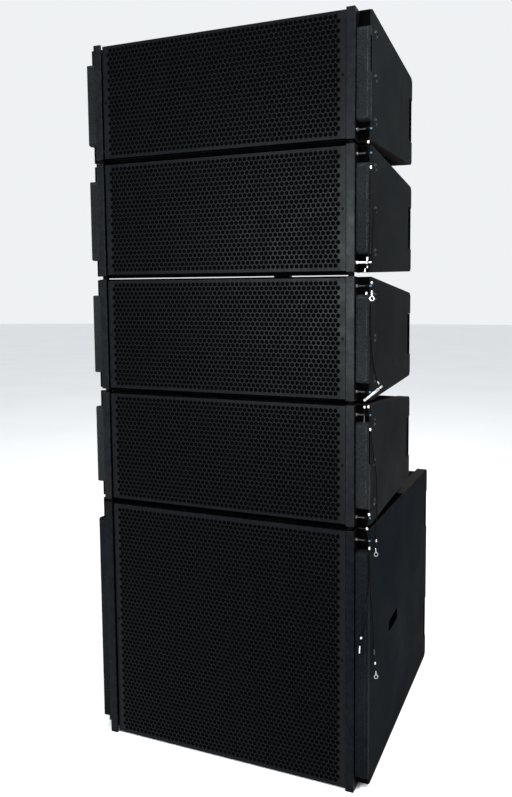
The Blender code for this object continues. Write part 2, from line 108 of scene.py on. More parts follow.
# ---- camera -------------------------------------------------------------------------------
def add_camera():
    """Eye level camera to the right of the stack, looking slightly down."""
    yaw, pitch, roll = (math.radians(a) for a in (17.396, 3.979, 0.312))
    forward = Vector(
        (-math.sin(yaw) * math.cos(pitch), math.cos(yaw) * math.cos(pitch), -math.sin(pitch))
    )
    right_level = Vector((math.cos(yaw), math.sin(yaw), 0))
    up_level = right_level.cross(forward)
    right = right_level * math.cos(roll) + up_level * math.sin(roll)
    up = up_level * math.cos(roll) - right_level * math.sin(roll)
    data = bpy.data.cameras.new("camera")
    data.lens = 27.31
    data.sensor_width = 36.0
    data.shift_x = -0.1568
    data.shift_y = -0.0547
    camera = bpy.data.objects.new("camera", data)
    turn = Matrix((right, up, -forward)).transposed().to_4x4()
    camera.matrix_world = Matrix.Translation((0.5452, -0.8575 + FACE_Y, 0.7630)) @ turn
    bpy.context.scene.collection.objects.link(camera)
    bpy.context.scene.camera = camera


add_camera()


# ---- materials ----------------------------------------------------------------------------
class Shader:
    """A Principled material and short ways to wire its procedural inputs."""

    def __init__(self, name, roughness=0.5, metallic=0.0, specular=0.5):
        self.material = bpy.data.materials.new(name)
        self.material.use_nodes = True
        self.nodes = self.material.node_tree.nodes
        self.links = self.material.node_tree.links
        self.surface = self.nodes["Principled BSDF"]
        self.surface.inputs["Roughness"].default_value = roughness
        self.surface.inputs["Metallic"].default_value = metallic
        self.surface.inputs["Specular IOR Level"].default_value = specular
        place = self.nodes.new("ShaderNodeTexCoord")
        info = self.nodes.new("ShaderNodeObjectInfo")
        spread = self.nodes.new("ShaderNodeVectorMath")
        spread.operation = "MULTIPLY_ADD"
        spread.inputs[1].default_value = (7.0, 5.0, 9.0)
        self.links.new(info.outputs["Random"], spread.inputs[0])
        self.links.new(place.outputs["Object"], spread.inputs[2])
        self.where = spread.outputs["Vector"]

    def stretched(self, scale):
        """Coordinates scaled per axis, for streaks."""
        node = self.nodes.new("ShaderNodeMapping")
        node.inputs["Scale"].default_value = scale
        self.links.new(self.where, node.inputs["Vector"])
        return node.outputs["Vector"]

    def noise(self, scale, detail=3.0, rough=0.5, where=None):
        node = self.nodes.new("ShaderNodeTexNoise")
        node.inputs["Scale"].default_value = scale
        node.inputs["Detail"].default_value = detail
        node.inputs["Roughness"].default_value = rough
        self.links.new(where or self.where, node.inputs["Vector"])
        return node.outputs["Fac"]

    def cells(self, scale):
        node = self.nodes.new("ShaderNodeTexVoronoi")
        node.inputs["Scale"].default_value = scale
        self.links.new(self.where, node.inputs["Vector"])
        return node.outputs["Distance"]

    def ramp(self, value, *stops):
        """A colour ramp through (position, colour) stops; a number is a grey."""
        node = self.nodes.new("ShaderNodeValToRGB")
        elements = node.color_ramp.elements
        while len(elements) < len(stops):
            elements.new(0.5)
        for element, (position, colour) in zip(elements, stops):
            element.position = position
            if isinstance(colour, (int, float)):
                colour = (colour, colour, colour)
            element.color = (*colour, 1.0)
        self.links.new(value, node.inputs["Fac"])
        return node.outputs["Color"]

    def math(self, operation, first, second):
        node = self.nodes.new("ShaderNodeMath")
        node.operation = operation
        for socket, value in zip(node.inputs, (first, second)):
            if isinstance(value, (int, float)):
                socket.default_value = value
            else:
                self.links.new(value, socket)
        return node.outputs["Value"]

    def blend(self, factor, first, second, mode="MIX"):
        node = self.nodes.new("ShaderNodeMix")
        node.data_type = "RGBA"
        node.blend_type = mode
        for index, value in ((0, factor), (6, first), (7, second)):
            if isinstance(value, (int, float)):
                node.inputs[index].default_value = value
            elif isinstance(value, tuple):
                node.inputs[index].default_value = (*value, 1.0)
            else:
                self.links.new(value, node.inputs[index])
        return node.outputs[2]

    def edges(self):
        """A mask of sharp outer edges, broken up by noise."""
        geometry = self.nodes.new("ShaderNodeNewGeometry")
        mask = self.ramp(geometry.outputs["Pointiness"], (0.52, 0.0), (0.62, 1.0))
        broken = self.ramp(self.noise(90.0, 4.0, 0.7), (0.42, 0.0), (0.62, 1.0))
        return self.blend(1.0, mask, broken, "MULTIPLY")

    def colour(self, value):
        self.links.new(value, self.surface.inputs["Base Color"])

    def roughness(self, value):
        self.links.new(value, self.surface.inputs["Roughness"])

    def bump(self, height, distance, strength=1.0):
        node = self.nodes.new("ShaderNodeBump")
        node.inputs["Distance"].default_value = distance
        node.inputs["Strength"].default_value = strength
        self.links.new(height, node.inputs["Height"])
        self.links.new(node.outputs["Normal"], self.surface.inputs["Normal"])


def textured_paint(name, dark, light, grain, depth, rough, wear, specular):
    """Sprayed textured paint: pebbled grain, soft cloudy shade, dust and scuffed edges."""
    made = Shader(name, specular=specular)
    clouds = made.ramp(made.noise(5.0, 4.0, 0.6), (0.35, dark), (0.68, light))
    specks = made.ramp(made.cells(grain * 0.8), (0.10, 1.35), (0.45, 0.85))
    shade = made.blend(1.0, clouds, specks, "MULTIPLY")
    dust = made.ramp(made.noise(26.0, 6.0, 0.75), (0.60, 0.0), (0.82, 0.35))
    shade = made.blend(dust, shade, wear)
    made.colour(made.blend(made.edges(), shade, wear))
    patches = made.ramp(made.noise(14.0, 3.0, 0.6), (0.3, rough - 0.06), (0.7, rough + 0.08))
    made.roughness(patches)
    grains = made.math("ADD", made.noise(grain, 2.0, 0.6), made.math("MULTIPLY", made.cells(grain), 0.7))
    made.bump(grains, depth)
    return made.material


def smooth_paint(name, dark, light, rough, wear, specular, streak=(6.0, 6.0, 6.0)):
    """Satin sprayed metal: orange peel, faint streaks along the piece and bare edges."""
    made = Shader(name, specular=specular)
    streaks = made.noise(9.0, 5.0, 0.6, made.stretched(streak))
    shade = made.ramp(streaks, (0.32, dark), (0.70, light))
    scuffs = made.ramp(made.noise(60.0, 6.0, 0.8), (0.66, 0.0), (0.80, 0.40))
    shade = made.blend(scuffs, shade, wear)
    made.colour(made.blend(made.edges(), shade, wear))
    made.roughness(made.ramp(made.noise(35.0, 4.0, 0.6), (0.3, rough - 0.05), (0.7, rough + 0.09)))
    made.bump(made.noise(900.0, 2.0, 0.5), 0.00012, 0.6)
    return made.material


def bare_steel(name, shade, rough):
    """Turned bright steel with fine scratches."""
    made = Shader(name, metallic=1.0)
    tone = made.noise(120.0, 5.0, 0.6)
    bright = tuple(min(1.0, c * 1.25) for c in shade)
    dull = tuple(c * 0.7 for c in shade)
    made.colour(made.ramp(tone, (0.3, dull), (0.7, bright)))
    fine = made.noise(40.0, 6.0, 0.8, made.stretched((2.0, 18.0, 18.0)))
    made.roughness(made.ramp(fine, (0.3, rough - 0.07), (0.7, rough + 0.12)))
    made.bump(fine, 0.0001, 0.5)
    return made.material


def moulded(name, dark, light, rough, grain=1200.0, depth=0.0001, specular=0.35):
    """Moulded plastic or rubber with a fine grain and a little bloom."""
    made = Shader(name, specular=specular)
    made.colour(made.ramp(made.noise(18.0, 4.0, 0.6), (0.35, dark), (0.7, light)))
    made.roughness(made.ramp(made.noise(70.0, 4.0, 0.6), (0.3, rough - 0.06), (0.7, rough + 0.1)))
    made.bump(made.noise(grain, 2.0, 0.6), depth, 0.7)
    return made.material


def paper_cone():
    """Pressed pulp cone: fibres and faint rings."""
    made = Shader("paper_cone", specular=0.2)
    made.colour(made.ramp(made.noise(240.0, 6.0, 0.75), (0.3, 0.004), (0.7, 0.014)))
    made.roughness(made.ramp(made.noise(90.0, 3.0), (0.3, 0.75), (0.7, 0.95)))
    made.bump(made.noise(700.0, 4.0, 0.7), 0.0004, 0.8)
    return made.material


def acoustic_foam():
    """Open cell foam, near black."""
    made = Shader("acoustic_foam", roughness=0.95, specular=0.0)
    made.colour(made.ramp(made.cells(900.0), (0.1, 0.0002), (0.6, 0.0009)))
    made.bump(made.cells(900.0), 0.0006, 0.8)
    return made.material


def plain_floor():
    made = Shader("pale_floor", specular=0.2)
    made.colour(made.ramp(made.noise(1.5, 3.0), (0.3, (0.800, 0.805, 0.810)), (0.7, (0.830, 0.835, 0.840))))
    made.roughness(made.ramp(made.noise(8.0, 3.0), (0.3, 0.75), (0.7, 0.85)))
    return made.material


CHEEK_PAINT = textured_paint(
    "cheek_paint", (0.0040, 0.0049, 0.0055), (0.0054, 0.0064, 0.0071), 620.0, 0.00040, 0.60,
    (0.0066, 0.0078, 0.0086), 0.010,
)
STRIP_PAINT = textured_paint(
    "strip_paint", (0.0050, 0.0057, 0.0062), (0.0098, 0.0106, 0.0113), 300.0, 0.0012, 0.58,
    (0.016, 0.018, 0.020), 0.03,
)
# Painted shade: a darker copy of the strip paint for the subwoofer, which sits lower in less light.
SHADED_SUB_STRIP_PAINT = textured_paint(
    "sub_strip_paint", (0.0022, 0.0028, 0.0036), (0.0044, 0.0053, 0.0064), 300.0, 0.0010, 0.60,
    (0.007, 0.008, 0.010), 0.012,
)
BODY_PAINT = textured_paint(
    "board_paint", (0.0040, 0.0043, 0.0046), (0.0066, 0.0068, 0.0070), 560.0, 0.00045, 0.70,
    (0.010, 0.011, 0.012), 0.0,
)
RAIL_PAINT = smooth_paint(
    "rail_paint", (0.0003, 0.0006, 0.0012), (0.0007, 0.0011, 0.0018), 0.36, (0.006, 0.007, 0.008),
    0.062, (14.0, 14.0, 2.2),
)
GRILLE_PAINT = smooth_paint(
    "grille_coat", (0.0002, 0.0005, 0.0010), (0.0005, 0.0009, 0.0015), 0.38, (0.0030, 0.0035, 0.0040),
    0.045, (5.0, 5.0, 5.0),
)
BORDER_PAINT = smooth_paint(
    "grille_border", (0.0003, 0.0006, 0.0012), (0.0006, 0.0010, 0.0017), 0.38, (0.0030, 0.0035, 0.0040),
    0.058, (5.0, 5.0, 5.0),
)
# Painted shade: a darker, less glossy copy of the rail paint for the subwoofer's rails, which sit lower in
# less light.
SHADED_SUB_RAIL_PAINT = smooth_paint(
    "sub_rail_paint", (0.0002, 0.0006, 0.0013), (0.0005, 0.0010, 0.0018), 0.38, (0.005, 0.006, 0.007),
    0.036, (14.0, 14.0, 2.2),
)
# Painted shade: a darker copy of the cheek paint for the subwoofer, standing in for the light falling off
# down the stack.
SHADED_SUB_CHEEK_PAINT = textured_paint(
    "sub_cheek_paint", (0.0022, 0.0035, 0.0048), (0.0034, 0.0047, 0.0060), 620.0, 0.00040, 0.62,
    (0.0032, 0.0045, 0.0058), 0.004,
)
# Painted light: a lighter brownish paint for the cheeks' top and bottom faces, standing in for light falling
# on them.
LIT_EDGE_PAINT = textured_paint(
    "cheek_edge_paint", (0.0150, 0.0138, 0.0130), (0.0200, 0.0184, 0.0172), 620.0, 0.00040, 0.75,
    (0.026, 0.024, 0.022), 0.0,
)
PANEL_PAINT = smooth_paint(
    "rear_panel_coat", (0.0060, 0.0064, 0.0070), (0.0100, 0.0106, 0.0114), 0.46,
    (0.034, 0.036, 0.039), 0.25,
)
DARK_STEEL = smooth_paint(
    "blackened_steel", (0.0016, 0.0017, 0.0019), (0.0034, 0.0036, 0.0039), 0.40,
    (0.020, 0.021, 0.022), 0.08, (30.0, 30.0, 8.0),
)
BRIGHT_STEEL = bare_steel("bright_steel", (0.62, 0.62, 0.63), 0.26)
COLLAR_STEEL = bare_steel("collar_steel", (0.075, 0.076, 0.078), 0.30)
OXIDE_STEEL = bare_steel("black_oxide", (0.0150, 0.0160, 0.0170), 0.34)
SCREW_BLACK = smooth_paint(
    "screw_black", (0.0020, 0.0022, 0.0026), (0.0045, 0.0050, 0.0056), 0.30, (0.012, 0.013, 0.014), 0.12
)
BUTTON_BLUE = moulded("button_blue", (0.003, 0.070, 0.110), (0.006, 0.105, 0.155), 0.34)
HORN_PLASTIC = moulded("horn_plastic", 0.004, 0.008, 0.40)
BLACK_PLASTIC = moulded("connector_plastic", 0.006, 0.012, 0.34)
RUBBER = moulded("foot_rubber", 0.006, 0.014, 0.78, 500.0, 0.0003)
SURROUND = moulded("surround_rubber", 0.005, 0.010, 0.48, 900.0, 0.0001)
CABLE_COAT = moulded("cable_coat", 0.0012, 0.0028, 0.50, 1600.0, 0.0002, 0.03)
# Painted shade: a near-black, glossless material for notches, slots, pockets, grip recesses and gaps,
# standing in for the shade that falls in them.
SHADE_BLACK = moulded("notch_black", 0.0005, 0.0012, 0.85, 700.0, 0.0003, 0.0)
LINK_BLACK = moulded("link_black", 0.0008, 0.0018, 0.55, 900.0, 0.0001, 0.01)
CONE = paper_cone()
FOAM = acoustic_foam()


# ---- mesh helpers -------------------------------------------------------------------------
def finish_mesh(name, bm, materials, smooth=35.0):
    bmesh.ops.recalc_face_normals(bm, faces=bm.faces)
    mesh = bpy.data.meshes.new(name)
    bm.to_mesh(mesh)
    bm.free()
    for look in materials:
        mesh.materials.append(look)
    mesh.shade_smooth()
    mesh.set_sharp_from_angle(angle=math.radians(smooth))
    return mesh


def add_object(name, data):
    ob = bpy.data.objects.new(name, data)
    bpy.context.scene.collection.objects.link(ob)
    return ob


def soften(ob, width, segments, angle):
    """Rounds an object's sharp edges with a bevel."""
    modifier = ob.modifiers.new("Edges", "BEVEL")
    modifier.width = width
    modifier.segments = segments
    modifier.limit_method = "ANGLE"
    modifier.angle_limit = math.radians(angle)
    return modifier


def put(name, mesh, body, location=(0, 0, 0), bevel=0.0, segments=2):
    """Places a mesh as a named piece that rides on a body; y is given from the rails' face."""
    ob = add_object(name, mesh)
    x, y, z = location
    ob.location = (x, y + FACE_Y, z)
    if bevel:
        soften(ob, bevel, segments, 32).harden_normals = True
    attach(ob, body)
    return ob


def add_box(bm, low, high, look=0):
    made = bmesh.ops.create_cube(bm, size=1.0)["verts"]
    size = [b - a for a, b in zip(low, high)]
    centre = [(a + b) / 2 for a, b in zip(low, high)]
    bmesh.ops.scale(bm, vec=size, verts=made)
    bmesh.ops.translate(bm, vec=centre, verts=made)
    for face in {f for v in made for f in v.link_faces}:
        face.material_index = look


def add_prism(bm, outline, start, end, axis="x"):
    """A flat outline given thickness along an axis. Its points are the other two, in order."""
    at = "xyz".index(axis)
    low, high = (
        [bm.verts.new([*point[:at], t, *point[at:]]) for point in outline] for t in (start, end)
    )
    bm.faces.new(low)
    bm.faces.new(list(reversed(high)))
    count = len(outline)
    for i in range(count):
        j = (i + 1) % count
        bm.faces.new((low[i], high[i], high[j], low[j]))


def add_lathe(bm, profile, steps, turn, look=0):
    """A solid of revolution about its own Z axis, from (radius, height) points."""
    rings = []
    for radius, height in profile:
        if radius < 1e-7:
            rings.append([bm.verts.new(turn @ Vector((0, 0, height)))])
            continue
        ring = []
        for i in range(steps):
            a = 2 * math.pi * i / steps
            ring.append(bm.verts.new(turn @ Vector((radius * math.cos(a), radius * math.sin(a), height))))
        rings.append(ring)
    for upper, lower in zip(rings, rings[1:]):
        for i in range(steps):
            j = (i + 1) % steps
            corners = [upper[i % len(upper)], upper[j % len(upper)]]
            corners += [lower[j % len(lower)], lower[i % len(lower)]]
            unique = list(dict.fromkeys(corners))
            if len(unique) > 2:
                bm.faces.new(unique).material_index = look


def add_tube(bm, points, radius, look=0, sides=8):
    """A round tube with closed ends along a polyline."""
    points = [Vector(p) for p in points]
    rings = []
    side = Vector((1, 0, 0))
    for i, point in enumerate(points):
        ahead = points[min(i + 1, len(points) - 1)] - points[max(i - 1, 0)]
        ahead.normalize()
        side = side - ahead * side.dot(ahead)
        if side.length < 1e-4:
            side = ahead.orthogonal()
        side.normalize()
        other = ahead.cross(side)
        ring = []
        for n in range(sides):
            a = 2 * math.pi * n / sides
            ring.append(bm.verts.new(point + (side * math.cos(a) + other * math.sin(a)) * radius))
        rings.append(ring)
    for a, b in zip(rings, rings[1:]):
        for n in range(sides):
            m = (n + 1) % sides
            bm.faces.new((a[n], a[m], b[m], b[n])).material_index = look
    bm.faces.new(list(reversed(rings[0]))).material_index = look
    bm.faces.new(rings[-1]).material_index = look


def add_ring(bm, centre, turn, major, minor, steps=24, sides=8):
    """A torus about its own Z axis."""
    rings = []
    for i in range(steps):
        a = 2 * math.pi * i / steps
        ring = []
        for n in range(sides):
            b = 2 * math.pi * n / sides
            r = major + minor * math.cos(b)
            local = Vector((r * math.cos(a), r * math.sin(a), minor * math.sin(b)))
            ring.append(bm.verts.new(Vector(centre) + turn @ local))
        rings.append(ring)
    for i in range(steps):
        for n in range(sides):
            j, m = (i + 1) % steps, (n + 1) % sides
            bm.faces.new((rings[i][n], rings[j][n], rings[j][m], rings[i][m]))


def arc(centre, radius, start, end, steps):
    turns = [math.radians(start + (end - start) * i / steps) for i in range(steps + 1)]
    return [(centre[0] + radius * math.cos(a), centre[1] + radius * math.sin(a)) for a in turns]


def rounded_box(low, high, radius, steps=5):
    """Outline of a rectangle with round corners."""
    left, bottom = (value + radius for value in low)
    right, top = (value - radius for value in high)
    return [
        *arc((left, bottom), radius, 180, 270, steps),
        *arc((right, bottom), radius, 270, 360, steps),
        *arc((right, top), radius, 0, 90, steps),
        *arc((left, top), radius, 90, 180, steps),
    ]


def cut(target, *cutters):
    """Cuts closed meshes out of a mesh with exact Booleans."""
    ob = add_object("target", target)
    others = []
    for n, mesh in enumerate(cutters):
        other = add_object(f"cutter_{n}", mesh)
        modifier = ob.modifiers.new(f"cut_{n}", "BOOLEAN")
        modifier.operation = "DIFFERENCE"
        modifier.solver = "EXACT"
        modifier.object = other
        others.append(other)
    graph = bpy.context.evaluated_depsgraph_get()
    made = bpy.data.meshes.new_from_object(ob.evaluated_get(graph))
    made.name = target.name
    for other in [ob, *others]:
        bpy.data.objects.remove(other, do_unlink=True)
    made.shade_smooth()
    made.set_sharp_from_angle(angle=math.radians(35))
    return made


def solid(build):
    """A plain mesh from a function that fills a bmesh."""
    bm = bmesh.new()
    build(bm)
    return finish_mesh("solid", bm, [])


def box_solid(low, high):
    return solid(lambda bm: add_box(bm, low, high))


def prism_solid(outline, start, end, axis="x"):
    return solid(lambda bm: add_prism(bm, outline, start, end, axis))


def drum_solid(radius, length, turn, steps=48):
    profile = [(0, length / 2), (radius, length / 2), (radius, -length / 2), (0, -length / 2)]
    return solid(lambda bm: add_lathe(bm, profile, steps, turn))


FRONT = Matrix.Rotation(math.radians(90), 4, "X")
REAR = Matrix.Rotation(math.radians(-90), 4, "X")
TO_RIGHT = Matrix(((0, 0, 1, 0), (1, 0, 0, 0), (0, 1, 0, 0), (0, 0, 0, 1)))
TO_LEFT = Matrix(((0, 0, -1, 0), (-1, 0, 0, 0), (0, 1, 0, 0), (0, 0, 0, 1)))


def outward(side):
    return TO_RIGHT if side > 0 else TO_LEFT


# ---- cabinets -----------------------------------------------------------------------------
def half_height(y):
    """Half the cheek's height at a depth, on a full range cabinet."""
    slope = (TOP_HEIGHT - BACK_HEIGHT) / 2 / (TOP_DEPTH - CHEEK_FRONT)
    return MID - slope * (y - CHEEK_FRONT)


def wedge(front, back, inset):
    a, b = half_height(front) - inset, half_height(back) - inset
    return [(front, MID - a), (back, MID - b), (back, MID + b), (front, MID + a)]


def cheek_shape(kind):
    """Main cheek panel without its front strip, with round rear corners."""
    small, radius = 0.0012, 0.0095
    if kind == "top":
        back = half_height(TOP_DEPTH)
        low, high, front_low, front_high, turn = MID - back, MID + back, 0.0, TOP_HEIGHT, 86
    else:
        low, high, front_low, front_high, turn = SUB_BOTTOM, SUB_TOP, SUB_BOTTOM, SUB_TOP, 90
    rear = DEPTH[kind] - radius
    return [
        *arc((CHEEK_FRONT + small, front_low + small), small, 180, 270, 3),
        *arc((rear, low + radius), radius, -turn, 0, 8),
        *arc((rear, high - radius), radius, 0, turn, 8),
        *arc((CHEEK_FRONT + small, front_high - small), small, 90, 180, 3),
    ]


def side_span(side, inner, outer):
    return sorted((side * inner, side * outer))


def edge_round(side, outer, front, radius, steps):
    """Outline of what comes off an outer front edge to round it."""
    centre = (side * (outer - radius), front + radius)
    curve = arc(centre, radius, 0 if side > 0 else 180, -90 if side > 0 else 270, steps)
    past = 0.01
    far = side * (outer + past)
    return [(far, front + radius), *curve, (curve[-1][0], front - past), (far, front - past)]


def cheeks_mesh(kind):
    """Both cheeks, with rear grip recesses and, on the subwoofer, hand pockets."""
    bm = bmesh.new()
    for side, _ in SIDES:
        start, end = side_span(side, CHEEK_INNER, HALF_WIDTH)
        add_prism(bm, cheek_shape(kind), start, end)
    # The subwoofer's cheeks get the darker copy of the paint: painted shade.
    mesh = finish_mesh(f"{kind}_cheeks", bm, [CHEEK_PAINT if kind == "top" else SHADED_SUB_CHEEK_PAINT])
    depth, strip = DEPTH[kind], STRIP_SPAN[kind]
    rear, bend = depth - 0.0170, 0.0040
    cutters = []
    for side, _ in SIDES:
        corner = edge_round(side, HALF_WIDTH, CHEEK_FRONT, 0.0045, 8)
        for low, high in ((-0.01, strip[0] + 0.0004), (strip[1] - 0.0004, HEIGHT[kind] + 0.01)):
            cutters.append(prism_solid(corner, low, high, "z"))
        for low, high in GRIP_SPANS[kind]:
            grip = [
                *arc((rear, low + bend), bend, 180, 270, 4),
                (depth + 0.01, low),
                (depth + 0.01, high),
                *arc((rear, high - bend), bend, 90, 180, 4),
            ]
            cutters.append(prism_solid(grip, *side_span(side, HALF_WIDTH - 0.0080, HALF_WIDTH + 0.01)))
        if kind == "sub":
            pocket = rounded_box((0.1240, 0.2050), (0.1770, 0.2250), 0.0050)
            cutters.append(prism_solid(pocket, *side_span(side, HALF_WIDTH - 0.0150, HALF_WIDTH + 0.01)))
    mesh = cut(mesh, *cutters)
    mesh.materials.append(SHADE_BLACK)
    mesh.materials.append(LIT_EDGE_PAINT)
    # Painted shade: the notch walls at the cheeks' front and the subwoofer's hand pockets are painted black
    # where shade falls.
    for face in mesh.polygons:
        x, y, z = face.center
        in_pocket = kind == "sub" and abs(x) < HALF_WIDTH - 0.0004 and 0.12 < y < 0.18 and 0.19 < z < 0.24
        if in_pocket or (face.normal.y < -0.9 and y < CHEEK_FRONT + 0.001):
            face.material_index = 1
        # Faces that point up or down get the lighter paint: painted light.
        elif abs(face.normal.z) > 0.95:
            face.material_index = 2
    return mesh


def strips_mesh(kind):
    """The raised front strip of each cheek: round front ends and a long slot along its back."""
    (low, high), slot = STRIP_SPAN[kind], SLOT_SPAN[kind]
    back, radius = CHEEK_FRONT - 0.0003, 0.0070
    outer = HALF_WIDTH + 0.0003
    groove = rounded_box((0.0092, slot[0]), (0.0150, slot[1]), 0.0026)
    outline = [
        (back, low),
        (back, high),
        *arc((STRIP_FRONT + radius, high - radius), radius, 90, 180, 7),
        *arc((STRIP_FRONT + radius, low + radius), radius, 180, 270, 7),
    ]
    bm = bmesh.new()
    cutters = []
    for side, _ in SIDES:
        add_prism(bm, outline, *side_span(side, CHEEK_INNER, outer))
        corner = edge_round(side, outer, STRIP_FRONT, 0.0050, 9)
        cutters.append(prism_solid(corner, low - 0.01, high + 0.01, "z"))
        cutters.append(prism_solid(groove, *side_span(side, HALF_WIDTH - 0.0060, HALF_WIDTH + 0.01)))
    # The subwoofer's strips get the darker copy of the paint: painted shade.
    paint = STRIP_PAINT if kind == "top" else SHADED_SUB_STRIP_PAINT
    mesh = cut(finish_mesh(f"{kind}_strips", bm, [paint]), *cutters)
    mesh.materials.append(SHADE_BLACK)
    # Painted shade: the slot's inner faces are painted black where shade falls.
    for face in mesh.polygons:
        x, y, z = face.center
        deep = HALF_WIDTH - 0.0061 < abs(x) < HALF_WIDTH
        if deep and 0.0091 < y < 0.0151 and slot[0] - 0.0001 < z < slot[1] + 0.0001:
            face.material_index = 1
    return mesh


def grip_inserts_mesh(kind):
    """Inserts that fill the rear grip recesses to a little below the surface, in painted shade black that
    stands in for the shade in the recesses.
    """
    front, back = DEPTH[kind] - 0.0208, DEPTH[kind] - 0.0005
    wide, small, gap = 0.0038, 0.0015, 0.0003
    bm = bmesh.new()
    for side, _ in SIDES:
        for low, high in GRIP_SPANS[kind]:
            a, b = low + gap, high - gap
            outline = [
                *arc((front + wide, a + wide), wide, 180, 270, 4),
                *arc((back - small, a + small), small, 270, 360, 3),
                *arc((back - small, b - small), small, 0, 90, 3),
                *arc((front + wide, b - wide), wide, 90, 180, 4),
            ]
            add_prism(bm, outline, *side_span(side, HALF_WIDTH - 0.0079, HALF_WIDTH - 0.0008))
    return finish_mesh(f"{kind}_grip_inserts", bm, [SHADE_BLACK])


def foam_mesh(kind):
    """Acoustic foam behind the grille, with a softly uneven face."""
    inset = 0.0017
    wide, low, high = GRILLE_HALF - inset, GRILLE_END + inset, HEIGHT[kind] - GRILLE_END - inset
    front, back = GRILLE_FRONT, 0.0066
    columns, rows = 64, max(2, round((high - low) / 0.0070))
    bm = bmesh.new()
    sheets = []
    for layer in (front, back):
        grid = []
        for r in range(rows + 1):
            z = low + (high - low) * r / rows
            line = []
            for c in range(columns + 1):
                x = -wide + 2 * wide * c / columns
                wave = math.sin(171.0 * x + 2.0) * math.sin(149.0 * z + 1.0)
                y = layer + (0.0003 * (1 + wave) if layer == front else 0.0)
                line.append(bm.verts.new((x, y, z)))
            grid.append(line)
        sheets.append(grid)
    a, b = sheets
    for r in range(rows):
        for c in range(columns):
            bm.faces.new((a[r][c], a[r][c + 1], a[r + 1][c + 1], a[r + 1][c]))
            bm.faces.new((b[r][c], b[r + 1][c], b[r + 1][c + 1], b[r][c + 1]))
    for r in range(rows):
        for c in (0, columns):
            bm.faces.new((a[r][c], a[r + 1][c], b[r + 1][c], b[r][c]))
    for c in range(columns):
        for r in (0, rows):
            bm.faces.new((a[r][c], b[r][c], b[r][c + 1], a[r][c + 1]))
    return finish_mesh("foam", bm, [FOAM])


def core_outline(kind, front, back, inset):
    if kind == "top":
        return wedge(front, back, inset)
    low, high = SUB_BOTTOM + inset, SUB_TOP - SUB_TOP_DROP - inset
    return [(front, low), (back, low), (back, high), (front, high)]


def core_mesh(kind):
    """Boards, baffle and open rear bay between the cheeks."""
    wall = (0.2050, 0.2120) if kind == "top" else (0.3550, 0.3670)
    depth, height = DEPTH[kind] - 0.0010, HEIGHT[kind]
    reach = RAIL_OUTER + 0.0003
    bm = bmesh.new()
    add_prism(bm, core_outline(kind, BAFFLE_FRONT, depth, LIP), -reach, reach)
    mesh = finish_mesh(f"{kind}_core", bm, [BODY_PAINT])
    cutters = []
    for side, _ in SIDES:
        a, b = side_span(side, RAIL_INNER - 0.0004, HALF_WIDTH)
        cutters.append(box_solid((a, -0.01, -0.01), (b, RAIL_DEPTH + 0.0004, height + 0.01)))
    chamber = core_outline(kind, BAFFLE_FRONT + BOARD, wall[0], LIP + BOARD)
    cutters.append(prism_solid(chamber, -0.2190, 0.2190))
    bay = core_outline(kind, wall[1], depth + 0.01, LIP + BOARD)
    cutters.append(prism_solid(bay, -0.2100, 0.2100))
    if kind == "top":
        for side, _ in SIDES:
            where = Matrix.Translation((side * WOOFER_X, BAFFLE_FRONT, MID)) @ FRONT
            cutters.append(drum_solid(0.0662, 0.05, where))
        cutters.append(box_solid((-0.0515, -0.01, MID - 0.0655), (0.0515, 0.03, MID + 0.0655)))
        slot_low, slot_high = -0.02, TOP_HEIGHT + 0.02
    else:
        where = Matrix.Translation((0, BAFFLE_FRONT, SUB_MID)) @ FRONT
        cutters.append(drum_solid(0.1762, 0.05, where, 72))
        slot_low, slot_high = SUB_TOP - 0.0120, SUB_TOP + 0.02
    cutters.append(box_solid((*REAR_SLOT_LOW, slot_low), (*REAR_SLOT_HIGH, slot_high)))
    return cut(mesh, *cutters)


def lips_mesh(kind):
    """Lips behind the grille's ends, that narrow the gap to the next cabinet; they are painted shade black,
    standing in for the shade in the gap.
    """
    bm = bmesh.new()
    height = HEIGHT[kind]
    reach = RAIL_INNER + 0.0060
    front, back = 0.0126, 0.0190
    if kind == "top":
        # Set back, so that it clears the link bars when the cabinet is splayed.
        add_box(bm, (-reach, front + 0.0021, -0.0034), (reach, back, 0.0052))
    add_box(bm, (-reach, front, height - 0.0052), (reach, back, height + 0.0009))
    return finish_mesh(f"{kind}_lips", bm, [SHADE_BLACK])


def rails_mesh(kind):
    """Both angle section rails."""
    bm = bmesh.new()
    for side, _ in SIDES:
        section = [
            (side * RAIL_INNER, 0.0),
            (side * RAIL_OUTER, 0.0),
            (side * RAIL_OUTER, RAIL_DEPTH),
            (side * (RAIL_OUTER - RAIL_WALL), RAIL_DEPTH),
            (side * (RAIL_OUTER - RAIL_WALL), RAIL_WALL),
            (side * RAIL_INNER, RAIL_WALL),
        ]
        add_prism(bm, section, 0.0, HEIGHT[kind], "z")
    # The subwoofer's rails get the darker copy of the paint: painted shade.
    return finish_mesh("rails", bm, [RAIL_PAINT if kind == "top" else SHADED_SUB_RAIL_PAINT])


# ---- perforated grilles -------------------------------------------------------------------
HOLE_PITCH = 0.0081
HOLE_RADIUS = 0.00344
ROW_PITCH = 0.00704
HOLES = 51  # in the first row; every second row has one more
EDGE = 99  # the column number that stands for the sheet's edge


